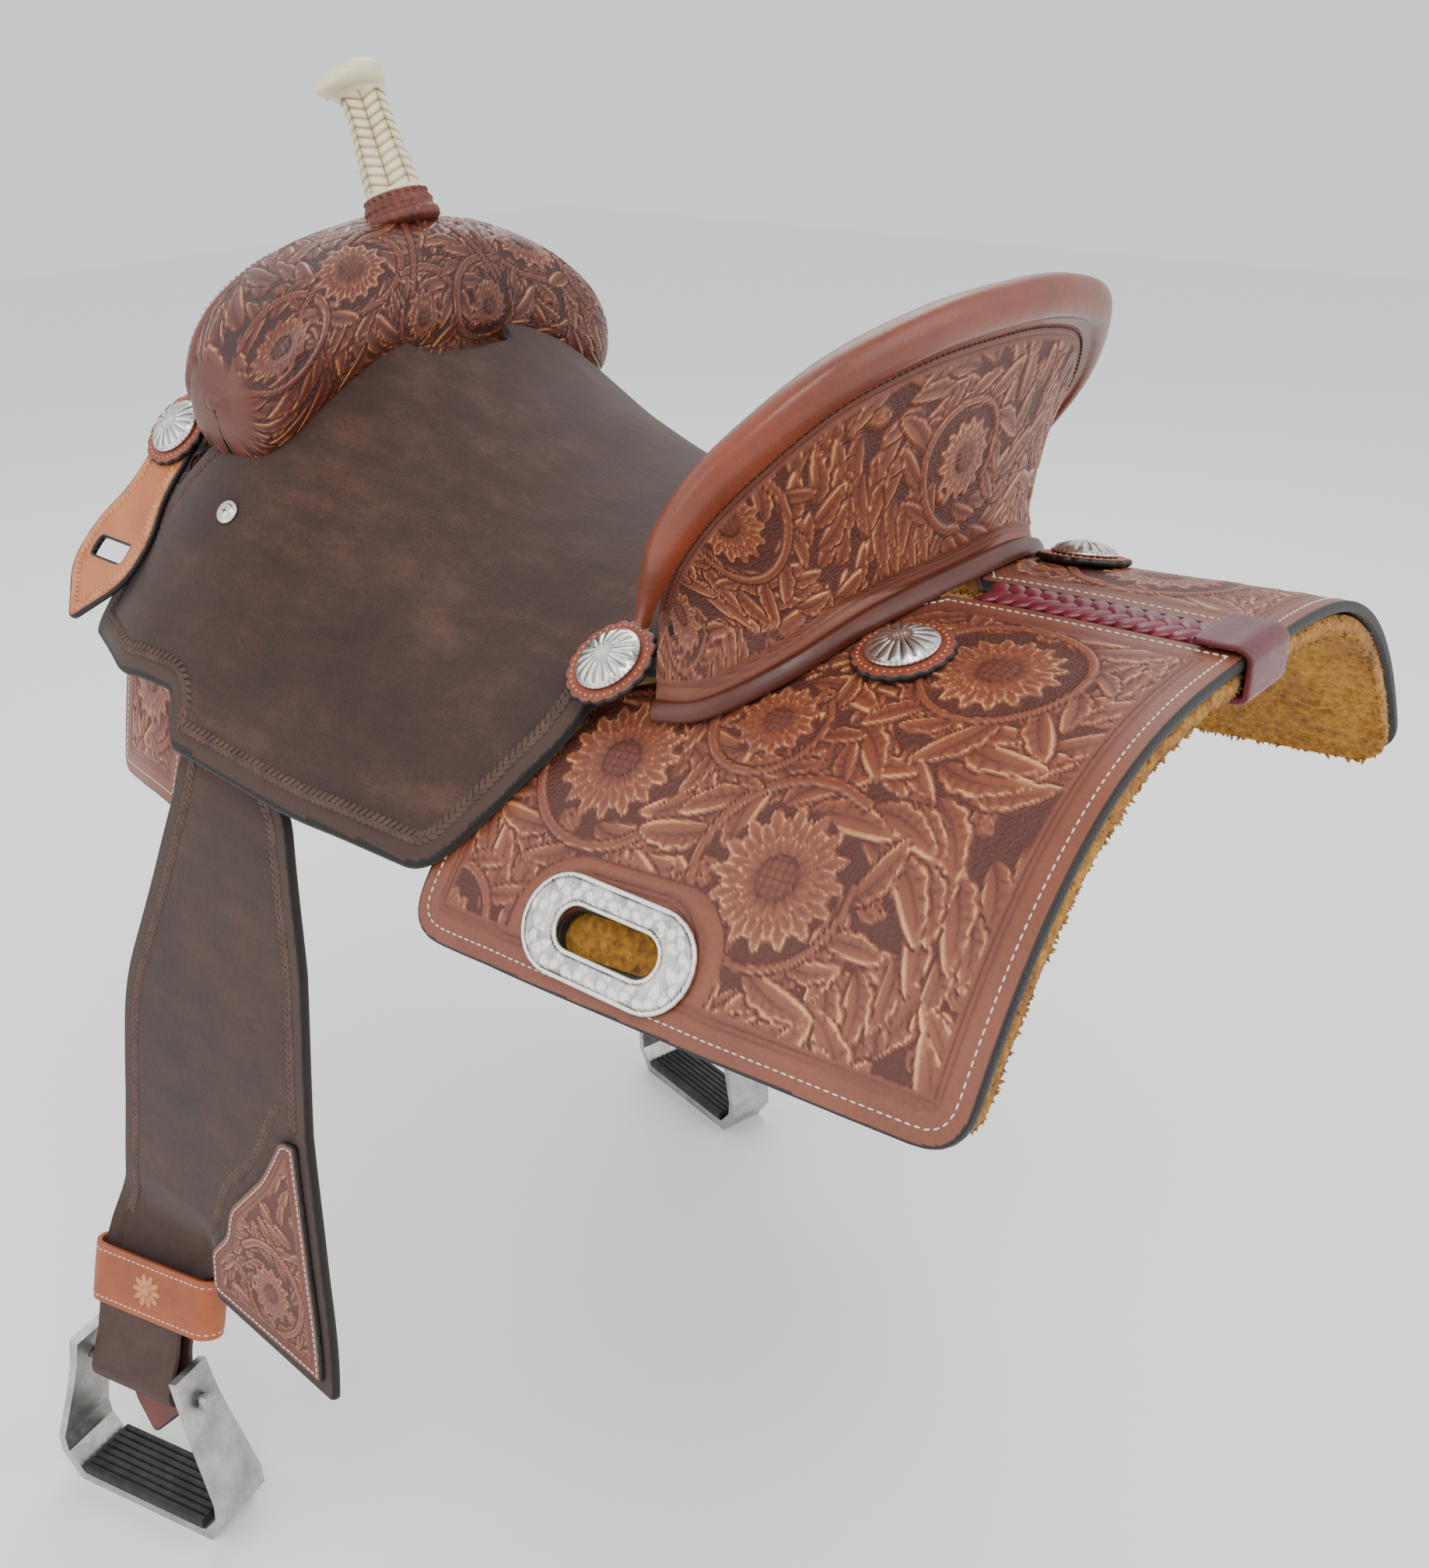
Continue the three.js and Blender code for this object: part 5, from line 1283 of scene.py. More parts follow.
xs = np.linspace(-161.9, 161.9, 110)
under = smoothstep((np.abs(xs) - 132) / 12)          # the skin meets itself under the ends
front = [arch_angle(x) if abs(x) < 57 else math.pi + 1.15 + 0.41 * k for x, k in zip(xs, under)]
rear = [math.pi / 2 + 0.85 + 0.71 * k for k in under]
pommel_edge = np.array([(x, (a - math.pi / 2) * FORK_ROUND) for x, a in zip(xs, front)][::-1]
                       + [(x, -a * FORK_ROUND) for x, a in zip(xs, rear)])
FORK_FLOWERS = [(side * u, v, r) for u, v, r in ((72, -42, 25), (132, -52, 19), (64, 92, 20), (118, 66, 20),
                                                (28, -92, 14)) for side in (1, -1)]
pommel_art = Carving((-165, -150), (165, 170), 0.6)
pommel_art.fill(FORK_FLOWERS, 10.5, 27, 5)
for k, (u, v, r) in enumerate(FORK_FLOWERS):
    pommel_art.wreath(u, v, r, 1 if u > 0 else -1, 1.2 if u > 0 else math.pi - 1.2, 9, 22)
for sx in (-1, 1):
    for (u, v), w0 in (((66, -30), 3.0), ((120, -46), 2.6), ((36, -80), 2.4)):
        dip = 10 * (w0 > 2.9)
        pommel_art.stem([(sx * 4, -6), (sx * u * 0.4, v * 0.3 - dip), (sx * u * 0.75, v * 0.7), (sx * u, v)],
                        w0, 1.6)
for (u, v, r), turn in zip(FORK_FLOWERS, np.linspace(0, 2.4, len(FORK_FLOWERS))):
    pommel_art.sunflower(u, v, r, turn, 14)
pommel = Cut(pommel_edge, 1.4 if FINE else 2.6)
pommel_frame = framed(pommel_art, 5, 0.42, 1.4)


def pommel_relief(uv, depth):
    """The carving, which fades into plain leather where the skin gathers at the fork's ends."""
    lift, tone = pommel_frame(uv, depth)
    carved = smoothstep((157 - np.abs(uv[:, 0])) / 6)
    return lift * carved, 0.42 + (tone - 0.42) * carved


fork_skin = leather(pommel, on_pommel, 1.6, pommel_relief, bevel=0.6)
at_end = np.abs(fork_skin[0][:, 0]) > 157
fork_skin[2]["rim"][at_end], fork_skin[2]["tone"][at_end] = 0, 0.42
make("fork_skin", fork_skin, TOOLED_DARK, "saddle")


def band_ring(x):
    """A section of the binding at the fork's front: raised, with a crease near its middle."""
    a = np.concatenate([np.linspace(2.32, 3.16, 12), np.linspace(3.16, 2.32, 6)])
    swell = np.clip(np.sin(np.linspace(0, math.pi, 12)), 0, 1) ** 0.35
    lift = np.concatenate([1.0 + 4.0 * swell, np.full(6, 0.4)])
    lift[5:7] -= 0.5
    return on_fork(np.full(18, x), a, lift)


def band_stitches(angle):
    x = np.arange(-150, 150.1, 4.6)
    a = np.full(len(x), angle)
    here = on_fork(x, a, 4.9)
    forward = unit(on_fork(x + 0.5, a, 4.9) - here)
    side = np.cross(unit(on_fork(x, a, 6.0) - here), forward)
    return scatter(here, forward, np.cross(forward, side), STITCH)


verts, faces = capped(np.array([band_ring(x) for x in np.linspace(-153, 153, 150)]))
make("fork_band", (verts, faces, {"tone": np.full(len(verts), 0.5)}), TOOLED_DARK, "saddle",
     ["fork_binding"])
make("fork_stitches", joined([band_stitches(a) for a in (2.46, 3.02)]), THREAD_GREY, "saddle")

# ---------------------------------------------------------------- horn
HORN_BASE, HORN_TOP = np.array((0, -217.0, 182.0)), np.array((0, -250.0, 268.0))
horn_up = unit(HORN_TOP - HORN_BASE)


def at_horn(points):
    return turn_to(points, HORN_BASE, horn_up, (1, 0, 0))


def smooth_profile(points, count):
    return Spline(points).at(np.linspace(0, 1, count))


neck = smooth_profile([(18.4, 10), (17.2, 26), (15.4, 45), (14.4, 60), (14.8, 70), (17.0, 74)], 130)
cap = smooth_profile([(17.0, 74), (20.0, 76.5), (22.2, 80.5), (22.4, 85), (19.5, 88.8), (13, 90.6), (6, 91),
                      (0.01, 91)], 40)
profile = np.vstack([[(0.01, 9)], [(16, 9)], neck, cap[1:]])


def braid_depth(a, h):
    """Slanting strands that change direction from one column to the next, up the neck of the horn."""
    col = a * 8 / (2 * math.pi)
    way = np.where(np.floor(col) % 2 == 0, 1, -1)
    across = (col % 1) - 0.5
    strand = np.abs(np.cos(math.pi * (h / 6.0 + way * across * 0.8))) ** 0.55
    side = np.clip(np.cos(math.pi * across), 0, 1) ** 0.35
    return strand * side, smoothstep((h - 11) / 2) * smoothstep((73 - h) / 2)


def braid(pts, a):
    h = profile[:, 1][:, None]
    deep, on_neck = braid_depth(a[None], h)
    scale = 1 + 1.5 * (deep - 0.7) * on_neck / np.maximum(profile[:, 0][:, None], 6)
    out = pts * np.stack([scale, scale, np.ones_like(scale)], -1)
    # The cap leans forward over the neck, and is flat on top.
    lean = smoothstep((h - 66) / 18)
    front = np.clip(np.sin(a)[None], -1, 1)
    out[..., 1] = out[..., 1] * (1 + lean * np.where(front > 0, 0.08, -0.16)) + 5.5 * lean
    droop = 3.5 * lean * np.clip(front, 0, 1) ** 2 * (np.hypot(out[..., 0], out[..., 1]) / 22)
    out[..., 2] -= np.where(h > 76, droop, 0)
    return out


verts, faces = turned(profile, 216 if FINE else 96, braid)
# On the neck the tone falls in the hollows between strands, so the braid's gaps take the darkest rawhide
# colour: painted shade.
deep, on_neck = braid_depth(np.arctan2(verts[:, 1], verts[:, 0]) % (2 * math.pi), verts[:, 2])
make("horn_braid", (at_horn(verts), faces, {"tone": 0.82 + on_neck * (deep * 1.1 - 0.95)}), RAWHIDE, "saddle",
     ["horn_wrap"])
collar = smooth_profile([(14, -12), (23, -9), (23.4, -4), (21.6, -1.5), (22.4, 1.5), (21.4, 4), (20.4, 6),
                         (20.6, 9), (14, 9.6)], 60)
collar = np.vstack([[(0.01, -12)], collar, [(0.01, 9.6)]])


def scallops(pts, a):
    h = collar[:, 1][:, None]
    k = 1 + 0.045 * np.abs(np.sin(a * 11))[None] * smoothstep((h + 10) / 2) * smoothstep((0.5 - h) / 2)
    k = k + 0.03 * np.sin(a * 22 + h * 0.9) * smoothstep((h - 1) / 1.5)
    return pts * np.stack([k, k, np.ones_like(k)], -1)


verts, faces = turned(collar, 132, scallops)
make("horn_ring", (at_horn(verts), faces), COLLAR, "saddle", ["horn_collar"])

# ---------------------------------------------------------------- cantle
SEAM_DROP = 8.5                # how far below the rim the roll meets the cantle's back


def roll_rings():
    """The roll: round over the rim and on the seat's side, and flatter behind, where it meets its seam."""
    shares = np.linspace(0, 1, 240)
    ts = 0.002 + 0.996 * shares
    radius = ROLL_R * np.minimum(1, 0.35 + 6 * np.minimum(shares, 1 - shares))
    up = unit(on_cantle(ts, 1.0) - on_cantle(ts, 0.7))
    rear = unit(np.cross(rim.at(ts + 1e-3) - rim.at(ts - 1e-3), up))
    rear = rear * np.where(rear[:, 1:2] < 0, -1, 1)
    a = np.linspace(0, 2 * math.pi, 36, endpoint=False)
    behind = smoothstep((np.sin(a) + 0.3) / 0.6)
    high = np.cos(a) * np.where(np.cos(a) < 0, 1 - 0.48 * behind, 1)
    deep = np.sin(a) * (1 - 0.5 * behind)
    return rim.at(ts)[:, None] + radius[:, None, None] * (up[:, None] * high[None, :, None]
                                                          + rear[:, None] * deep[None, :, None])


make("cantle_roll_skin", capped(roll_rings()), ROLL, "saddle", ["cantle_roll"])


def welt_line(t):
    """Where the cantle's back meets the skirts, and the level direction outwards from it."""
    low = on_cantle(t, 0.0)
    away = unit((on_cantle(t, 0.02, -8) - on_cantle(t, 0.02)) * np.array((1, 1, 0)))
    line = low + away * 6
    line[:, 2] = arch(BACK, line[:, 0], line[:, 1]) + 2
    return line, away


ts = 0.02 + 0.96 * np.linspace(0, 1, 400 if FINE else 220)
tall = np.linalg.norm(rim.at(ts) - foot.at(ts), axis=1)
welt_at, welt_out = welt_line(ts)
skirt_drop = np.linalg.norm(on_cantle(ts, 0.0) - welt_at, axis=1)
CANTLE_SPAN = 640.0
CANTLE_FLOWERS = [(150, 66, 27), (CANTLE_SPAN - 150, 66, 27), (CANTLE_SPAN / 2, 62, 22), (58, 12, 22),
                  (CANTLE_SPAN - 58, 12, 22)]
cantle_art = Carving((-10, -70), (CANTLE_SPAN + 10, 190), 0.6)
cantle_art.fill(CANTLE_FLOWERS, 11.0, 29, 8)
for k, (u, v, r) in enumerate(CANTLE_FLOWERS):
    cantle_art.wreath(u, v, r, 1 if k % 2 else -1, 0.6 + 2.1 * k, 10, 26 if r > 20 else 16)
for (u, v, r), turn in zip(CANTLE_FLOWERS, (0, 0.5, 1.0, 1.5, 2.0)):
    cantle_art.sunflower(u, v, r, turn, 14)
high = np.maximum(1 - SEAM_DROP / tall, 0.35)
BELOW, ABOVE = (20, 100) if FINE else (10, 60)
below = np.linspace(1, 0, BELOW, endpoint=False)[None] + 0 * ts[:, None]
share = np.linspace(0, 1, ABOVE)[None] * high[:, None]
height = np.concatenate([-below * skirt_drop[:, None], share * tall[:, None]], 1)
u = (ts * CANTLE_SPAN)[:, None] + 0 * height
edge = np.minimum(height + skirt_drop[:, None] - 8, (high * tall)[:, None] - height)
inner_art = smoothstep((edge - 11) / 1.5)
groove = hill(edge, 9, 0.9) + 0.8 * hill(edge, 6, 0.8)
h, hue = (cantle_art.at(u.ravel(), height.ravel(), k).reshape(u.shape) for k in (False, True))
sunk = 0.9 - 1.4 * h * inner_art + 0.5 * groove
wall = on_cantle(ts[:, None] + 0 * share, share, sunk[:, BELOW:])
apron = (on_cantle(ts, 0.0)[:, None] * (1 - below[..., None]) + welt_at[:, None] * below[..., None]
         - welt_out[:, None] * sunk[:, :BELOW, None])
inner = on_cantle(ts[:, None] + 0 * share[:, :4], share[:, [-1, 3 * ABOVE // 5, ABOVE // 5, 0]], BACK_COVER)
inner_foot = (welt_at - welt_out * BACK_COVER)[:, None]
tone = np.concatenate([hue * inner_art + (1 - inner_art) * (0.44 - 0.3 * groove), np.zeros((len(ts), 5))], 1)
verts, faces = capped(np.concatenate([apron, wall, inner, inner_foot], 1))
make("cantle_back_skin", (verts, faces, {"tone": np.concatenate([tone.ravel(), [0.3, 0.3]])}), TOOLED, "saddle",
     ["cantle_back_cover"])


def seam_share(t):
    return 1 - (SEAM_DROP + 5.0) / np.linalg.norm(rim.at(t) - foot.at(t), axis=1)


def seam_stitches(inward=0.5, pitch=4.6):
    t = np.linspace(0.05, 0.95, 900)
    run = lengths(on_cantle(t, seam_share(t), inward))
    t = np.interp(np.arange(0, run[-1], pitch), run, t)
    s = seam_share(t)
    here = on_cantle(t, s, inward)
    forward, normal = unit(on_cantle(t + 1e-3, s, inward) - here), unit(on_cantle(t, s, inward - 1) - here)
    return scatter(here, forward, normal, sized(STITCH, 1.15))


make("cantle_stitches", seam_stitches(), THREAD_BROWN, "saddle")


def welt_rings():
    """A low strip of leather that lies along the foot of the cantle's back."""
    t = np.linspace(0.02, 0.98, 200)
    low, away = welt_line(t)
    up = unit(on_cantle(t, 0.0) + (0, 0, 8) - low)
    high = low + up * 10
    corners = [high, high + away * 3, low + away * 4.5, low]
    ring = []
    for i in range(4):
        a, b = corners[i], corners[(i + 1) % 4]
        for s in np.linspace(0.06, 0.94, 7):
            bulge = 1.6 * math.sin(math.pi * s) if i == 1 else 0
            ring.append(a + (b - a) * s + away * bulge)
    return np.stack(ring, 1)


make("cantle_welt_skin", capped(welt_rings()), WELT, "saddle", ["cantle_welt"])

# ---------------------------------------------------------------- conchos and rosettes
def petal_wave(pts, a):
    """Rays round a concho's dome, and a cluster of seeds at its middle."""
    r = np.hypot(pts[..., 0], pts[..., 1])
    petals = 0.5 + 0.5 * np.cos(16 * a)[None]
    on = smoothstep((r - 5.5) / 1.5) * smoothstep((17.5 - r) / 1.2) * (pts[..., 2] > 5)
    inner = smoothstep((4.8 - r) / 1) * (pts[..., 2] > 5)
    seeds = np.cos(pts[..., 0] * 2.6) * np.cos(pts[..., 1] * 2.6)
    out = pts.copy()
    out[..., 2] += on * (0.9 * np.sqrt(petals) - 0.6) + inner * 0.35 * seeds
    return out


def scallop(pts, a):
    r = np.hypot(pts[..., 0], pts[..., 1])
    k = 1 - 0.055 * (1 - np.abs(np.cos(9 * a))[None] ** 0.8) * smoothstep((r - 20) / 4)
    return pts * np.stack([k, k, np.ones_like(k)], -1)


def polar(verts):
    return np.hypot(verts[:, 0], verts[:, 1]), np.arctan2(verts[:, 1], verts[:, 0])


def concho_dome():
    base = 4.5
    face = Spline([(18.4, base + 1.9), (15.8, base + 4.0), (12, base + 5.6), (7, base + 6.9), (3, base + 7.3),
                   (0.01, base + 7.4)])
    edge = [(0.01, base), (18.6, base), (19, base + 0.5), (19, base + 1.5)]
    verts, faces = turned(np.vstack([edge, face.at(np.linspace(0, 1, 34))]), 128, petal_wave)
    r, a = polar(verts)
    tone = np.where((r > 5.5) & (r < 17), 0.08 + 0.72 * np.sqrt(0.5 + 0.5 * np.cos(16 * a)), 0.7)
    return verts, faces, {"tone": np.where(np.abs(r - 18.3) < 0.9, 0.5 + 0.35 * np.sin(a * 40), tone)}


def rosette_disc():
    edge = [(0.01, 0), (25.5, 0), (26.6, 0.8), (27, 2), (26.6, 3.2), (25.4, 4.0), (22, 4.1), (19.4, 4.0),
            (0.01, 4.0)]
    verts, faces = turned(edge, 144, scallop)
    return verts, faces, {"rim": np.where((polar(verts)[0] > 24.2) & (verts[:, 2] < 3.9), 1.0, 0.0)}


def rosette_dots(count=36, radius=22.4):
    a = np.arange(count) * 2 * math.pi / count
    here = np.stack([radius * np.cos(a), radius * np.sin(a), np.full(count, 4.05)], 1)
    forward = np.stack([-np.sin(a), np.cos(a), 0 * a], 1)
    return scatter(here, forward, np.tile((0, 0, 1.0), (count, 1)), bead(1.7, 1.7, 0.55, 0, 0.2, 8))


def set_on(piece, at, normal):
    """A piece modelled about Z, moved to a point of the saddle with Z along the normal."""
    verts, faces, attrs = parts_of(piece)
    return turn_to(verts, at, normal), faces, attrs


ROSETTE = plain_look("rosette_leather", lin(104, 44, 31), lin(150, 76, 54), 0.46, 60, 700, 0.0003)
keeper_at, keeper_out = spot_on(on_back, 137, -284, 10.0)
middle_at, middle_out = spot_on(on_seat, 153, 104)
rear_at, rear_out = spot_on(on_back, 92, 236)
dome, disc, dots = concho_dome(), rosette_disc(), rosette_dots()
for spot, at, out in (("front", keeper_at + keeper_out * 4.5, keeper_out),
                      ("middle", middle_at + middle_out * 8, middle_out),
                      ("rear", rear_at + rear_out, rear_out)):
    pair(f"concho_dome_{spot}", set_on(dome, at, out), SILVER, "saddle", [f"concho_{spot}_"])
    pair(f"rosette_disc_{spot}", set_on(disc, at, out), ROSETTE, "saddle",
         [f"rosette_{spot}_"])
    pair(f"rosette_dots_{spot}", set_on(dots, at, out), STAMP_TAN, "saddle")

# ---------------------------------------------------------------- latigo keepers
keeper_x = unit(np.cross((0, 0, 1.0), keeper_out))
keeper_y = np.cross(keeper_out, keeper_x)


def on_keeper(x, y, lift=0.0):
    x, y = numbers(x, y)
    return (keeper_at + keeper_x * x[..., None] + keeper_y * y[..., None]
            + keeper_out * (4.0 + np.asarray(lift, float))[..., None])


keeper_edge = round_outline([(19, 20, 16), (-19, 20, 16), (-21, -45, 12), (-33, -72, 12), (-34, -104, 16),
                             (0, -140, 6), (34, -104, 16), (33, -72, 12), (21, -45, 12)])
keeper_slot = round_outline([(-18, -82, 3), (18, -82, 3), (18, -95, 3), (-18, -95, 3)])
keeper = Cut(keeper_edge, 1.3, (keeper_slot,))


def keeper_relief(uv, depth):
    oval = np.hypot(uv[:, 0] / 13, (uv[:, 1] + 44) / 8.5)
    ridge = hill(oval, 1, 0.09) + 0.8 * hill(oval, 0.66, 0.08)
    return 0.7 * ridge - 0.35 * hill(depth, 6, 3), np.clip(ridge, 0, 1)


pair("keeper_skin", leather(keeper, on_keeper, 4, keeper_relief, bevel=0.8), KEEPER, "keeper_",
     ["latigo_keeper_"])
pair("keeper_border", rope(keeper, on_keeper, 5.6, lambda x, y: y < -24, 3.9, 0.8, -0.2), STAMP_TAN, "keeper_")

# ---------------------------------------------------------------- jockey screws
screw_at, screw_out = spot_on(on_seat, 174, -193, 0.5)
washer = np.array([(0.01, 0), (7.4, 0), (7.5, 0.5), (7.2, 1.2), (6.0, 1.5), (5.2, 1.3), (5.0, 2.0), (4.2, 2.7),
                   (2.4, 3.0), (0.01, 3.05)])
verts, faces = turned(washer, 48)
pair("screw_head", set_on((verts, faces, {"tone": np.full(len(verts), 0.8)}), screw_at, screw_out), SILVER,
     "saddle", ["jockey_screw_"])
# The cross in the screw's head is drawn in the dark shadow grey: painted shadow in its slots.
bar, bar_faces = bead(5.2, 0.9, 0.22, 0, 0.5, 12)
bars = joined([(bar, bar_faces), (bar @ np.array(((0, 1, 0), (-1, 0, 0), (0, 0, 1.0))), bar_faces)])
pair("screw_cross", set_on(bars, screw_at + screw_out * 2.95, screw_out), DARK, "saddle")

# ---------------------------------------------------------------- lacing between the skirts, and the rear loop
lace_cut = Cut(np.array([(-15, 226), (15, 226), (15, 370), (-15, 370.0)]), 3.0)
lace_base = leather(lace_cut, lifted(on_back, -1.2), 4.5, plain_relief(), bevel=0.8)
make("lacing_base", lace_base[:2], LOOP, "saddle", ["rear_lacing"])


def lacing_row(side, pitch=9.6, turn=math.radians(32)):
    """One of the two rows of slanting strands that meet on the centre line."""
    v = np.arange(232 + (pitch / 2 if side > 0 else 0), 364, pitch)
    u = np.full(len(v), side * 6.2)
    here = on_back(u, v, np.full(len(v), -0.4))
    normal = unit(on_back(u, v, np.full(len(v), 1.0)) - here)
    across = unit(np.array((1.0, 0, 0)) - normal * normal[:, :1])
    ahead = np.cross(normal, across)
    return scatter(here, across * side * math.cos(turn) - ahead * math.sin(turn), normal,
                   bead(21, 11.5, 2.4, 0, 1.6, 16))


make("lacing_braid", joined([lacing_row(side) for side in (-1, 1)]), LACING, "saddle")


def strap_section(half, thick, edge=0.9, crown=0.3):
    """A flat strap's section: rounded corners, and faces that swell a little."""
    pts = []
    for sx, sy, start in ((-1, -1, math.pi), (1, -1, -math.pi / 2), (1, 1, 0.0), (-1, 1, math.pi / 2)):
        cx, cy = sx * (half - edge), sy * (thick / 2 - edge)
        pts += [(cx + edge * math.cos(start + g), cy + edge * math.sin(start + g))
                for g in np.linspace(0, math.pi / 2, 4)]
        if sx == sy:
            pts += [(sx * half * k, sy * (thick / 2 + crown * (1 - k * k))) for k in np.linspace(0.8, -0.8, 7)]
    return np.array(pts)


def strap(path, normals, way, half, thick, closed=False):
    """A flat strap along a path of points; way is its width's direction, the same all along."""
    pts = strap_section(half, thick)[None]
    rings = path[:, None] + way * pts[..., :1] + normals[:, None] * pts[..., 1:]
    if not closed:
        return capped(rings)
    verts = rings.reshape(-1, 3)
    return verts, outward(verts, [lattice(rings, wrap_u=True, wrap_v=True)])


def path_normals(path, way, outside, closed=False):
    """Normals of a strap on a path, on the side where the first one points with the direction outside."""
    ahead = np.roll(path, -1, 0) - np.roll(path, 1, 0) if closed else np.gradient(path, axis=0)
    normals = unit(np.cross(unit(ahead), way))
    return normals * np.sign(normals[0] @ outside)


X_WAY = np.array((1.0, 0, 0))
Z_WAY = np.array((0, 0, 1.0))
high_z = float(back_at(0, 378)[2]) + 1
low_z = high_z - SKIRT_THICK - 2 - FLEECE_THICK - 1.5
side_line = [(352, high_z + 2.75), (366, high_z + 2.75), (376, high_z + 2.6), (380.2, high_z - 0.5),
             (380.75, high_z - 6), (380.75, low_z + 6), (380.2, low_z + 0.5), (376, low_z - 1.6),
             (366, low_z - 1.75), (352, low_z - 1.75)]
path = Spline([(0, y, z) for y, z in side_line]).at(np.linspace(0, 1, 60))
make("rear_loop_strap", strap(path, path_normals(path, X_WAY, Z_WAY), X_WAY, 22, 3.4), LOOP, "saddle",
     ["rear_loop"])

# ---------------------------------------------------------------- fenders
FENDER_EDGE = [(-176, -70, 10), (-130, -70, 16), (-80, -114, 16), (-67, -213), (-62, -317), (-38, -498, 3),
               (-170, -484, 4), (-193, -502, 6), (-193, -540, 8), (-281, -540, 8), (-284, -500, 10),
               (-270, -440), (-262, -370), (-254, -281, 30), (-186, -125, 20)]
PATCH_EDGE = [(-47, -487, 3), (-70, -325, 3), (-84, -326, 6), (-104, -362, 10), (-140, -402, 8),
              (-145, -425, 6), (-163, -446, 6), (-161, -476, 6)]
BRACKET_EDGE = [(-52, -500, 2), (-66, -306, 2), (-92, -304, 14), (-113, -352, 12), (-152, -394, 12),
                (-160, -424, 8), (-174, -440, 8), (-172, -500, 2)]
LEATHER_EDGE = [(-206, -9, 12), (-178, -9, 12), (-172, -40, 6), (-136, -92, 20), (-158, -300, 40),
                (-204, -478, 4), (-266, -478, 4), (-236, -300, 40), (-180, -112, 10), (-184, -62, 6),
                (-206, -36, 8)]


fender_face = lifted(on_fender, 3.0)
fender = Cut(round_outline(FENDER_EDGE), 2.0 if FINE else 3.6)
pair("fender_skin", leather(fender, fender_face, 6, plain_relief(13), bevel=1.2), ROUGHOUT_LOW, "fender_",
     ["fender_"])
patch_zone = round_outline(PATCH_EDGE)


def off_patch(y, h):
    """Not under the tooled patch, nor where the wrapped strap hides the fender."""
    d = np.abs(np.stack([y, h], 1)[:, None] - patch_zone[None]).max(2).min(1)
    return (h > -470) & (d > 9) & ~((y > -150) & (h < -420))


pair("fender_border", rope(fender, fender_face, 13, off_patch), STAMP_DARK, "fender_")


def beside_patch(y, h):
    return (h > -446) & (y < -76) & (h < -309 - (y + 84) * 0.2)


bracket = Cut(round_outline(BRACKET_EDGE), 6.0)
pair("fender_bracket", rope(bracket, fender_face, 0.1, beside_patch), STAMP_DARK, "fender_")
patch_art = Carving((-175, -500), (-35, -315), 0.5)
patch_art.fill([(-100, -445, 17), (-72, -392, 9)], 8.0, 18, 12)
patch_art.wreath(-98, -446, 19, -1, 2.4, 9, 20)
patch_art.sunflower(-98, -446, 19, 0.2, 13)
patch, patch_face = Cut(patch_zone, 1.2), lifted(on_fender, 7.0)
pair("fender_patch_skin", leather(patch, patch_face, 3.6, framed(patch_art, 10, 0.4, 1.2), bevel=0.7), TOOLED,
     "fender_", ["fender_patch_"])
pair("fender_patch_stitches", stitches(patch, patch_face, 3.6, 4.2), THREAD, "fender_")
back_strap = leather(Cut(round_outline(LEATHER_EDGE), 4.0), lifted(on_fender, -4.5), 4, plain_relief())
pair("stirrup_leather_skin", back_strap, STRAP, "fender_", ["stirrup_leather_"])

# ---------------------------------------------------------------- straps round the stirrup bolt
leg, radius = 6.5, 10.3
arc = np.linspace(math.radians(8), math.radians(-188), 26)
up_leg = [(leg, b) for b in (88, 74, 60, 46, 34, 27)] + [(8.6, 14)]
loop_line = (up_leg + [(radius * math.cos(g), radius * math.sin(g)) for g in arc]
             + [(-c, b) for c, b in up_leg[::-1]])
loop_line = Spline(loop_line).at(np.linspace(0, 1, 150))
path = at_bolt(0, loop_line[:, 1], loop_line[:, 0])
pair("stirrup_loop_skin", strap(path, path_normals(path, ALONG, STRAP_OUT), ALONG, 37, 4), STRAP, "fender_",
     ["stirrup_loop_"])


def tail_face(u, v, lift):
    return at_bolt(u + 4, v, -13.3 + lift)


tail_edge = round_outline([(-25, 18, 4), (25, 18, 4), (25, -26, 12), (0, -52, 4), (-25, -26, 12)])
pair("strap_tail_skin", leather(Cut(tail_edge, 2.0), tail_face, 3, plain_relief(), bevel=0.8), TAIL, "fender_",
     ["strap_tail_"])

# The hobble strap: a flat ring round both legs of the loop, stitched along both edges.
HOBBLE_MID, HOBBLE_UP, HOBBLE_HALF, HOBBLE_THICK = 10, 72, 22, 3.5
reach, bend = 53 + 1.75, 9.5 + 1.75
g = np.linspace(-math.pi / 2, math.pi / 2, 16)
half_ring = np.stack([reach - bend + bend * np.cos(g), bend * np.sin(g)], 1)
ring = even(np.concatenate([half_ring, -half_ring]), 2.5)
path = at_bolt(ring[:, 0] + HOBBLE_MID, HOBBLE_UP, ring[:, 1])
normals = path_normals(path, STRAP_UP, path[0] - at_bolt(HOBBLE_MID, HOBBLE_UP, 0), True)
pair("hobble_skin", strap(path, normals, STRAP_UP, HOBBLE_HALF, HOBBLE_THICK, True), HOBBLE, "fender_",
     ["hobble_strap_"])


def hobble_stitches(inset=4.5, pitch=4.4):
    p, n = np.vstack([path, path[:1]]), np.vstack([normals, normals[:1]])
    run = lengths(p)
    at = np.arange(pitch, run[-1] - pitch / 2, pitch)
    mid, normal = resample(at, run, p), unit(resample(at, run, n))
    forward = unit(resample(at + 0.5, run, p) - mid)
    return joined([scatter(mid + STRAP_UP * side * (HOBBLE_HALF - inset) + normal * HOBBLE_THICK / 2, forward,
                           normal, STITCH) for side in (-1, 1)])


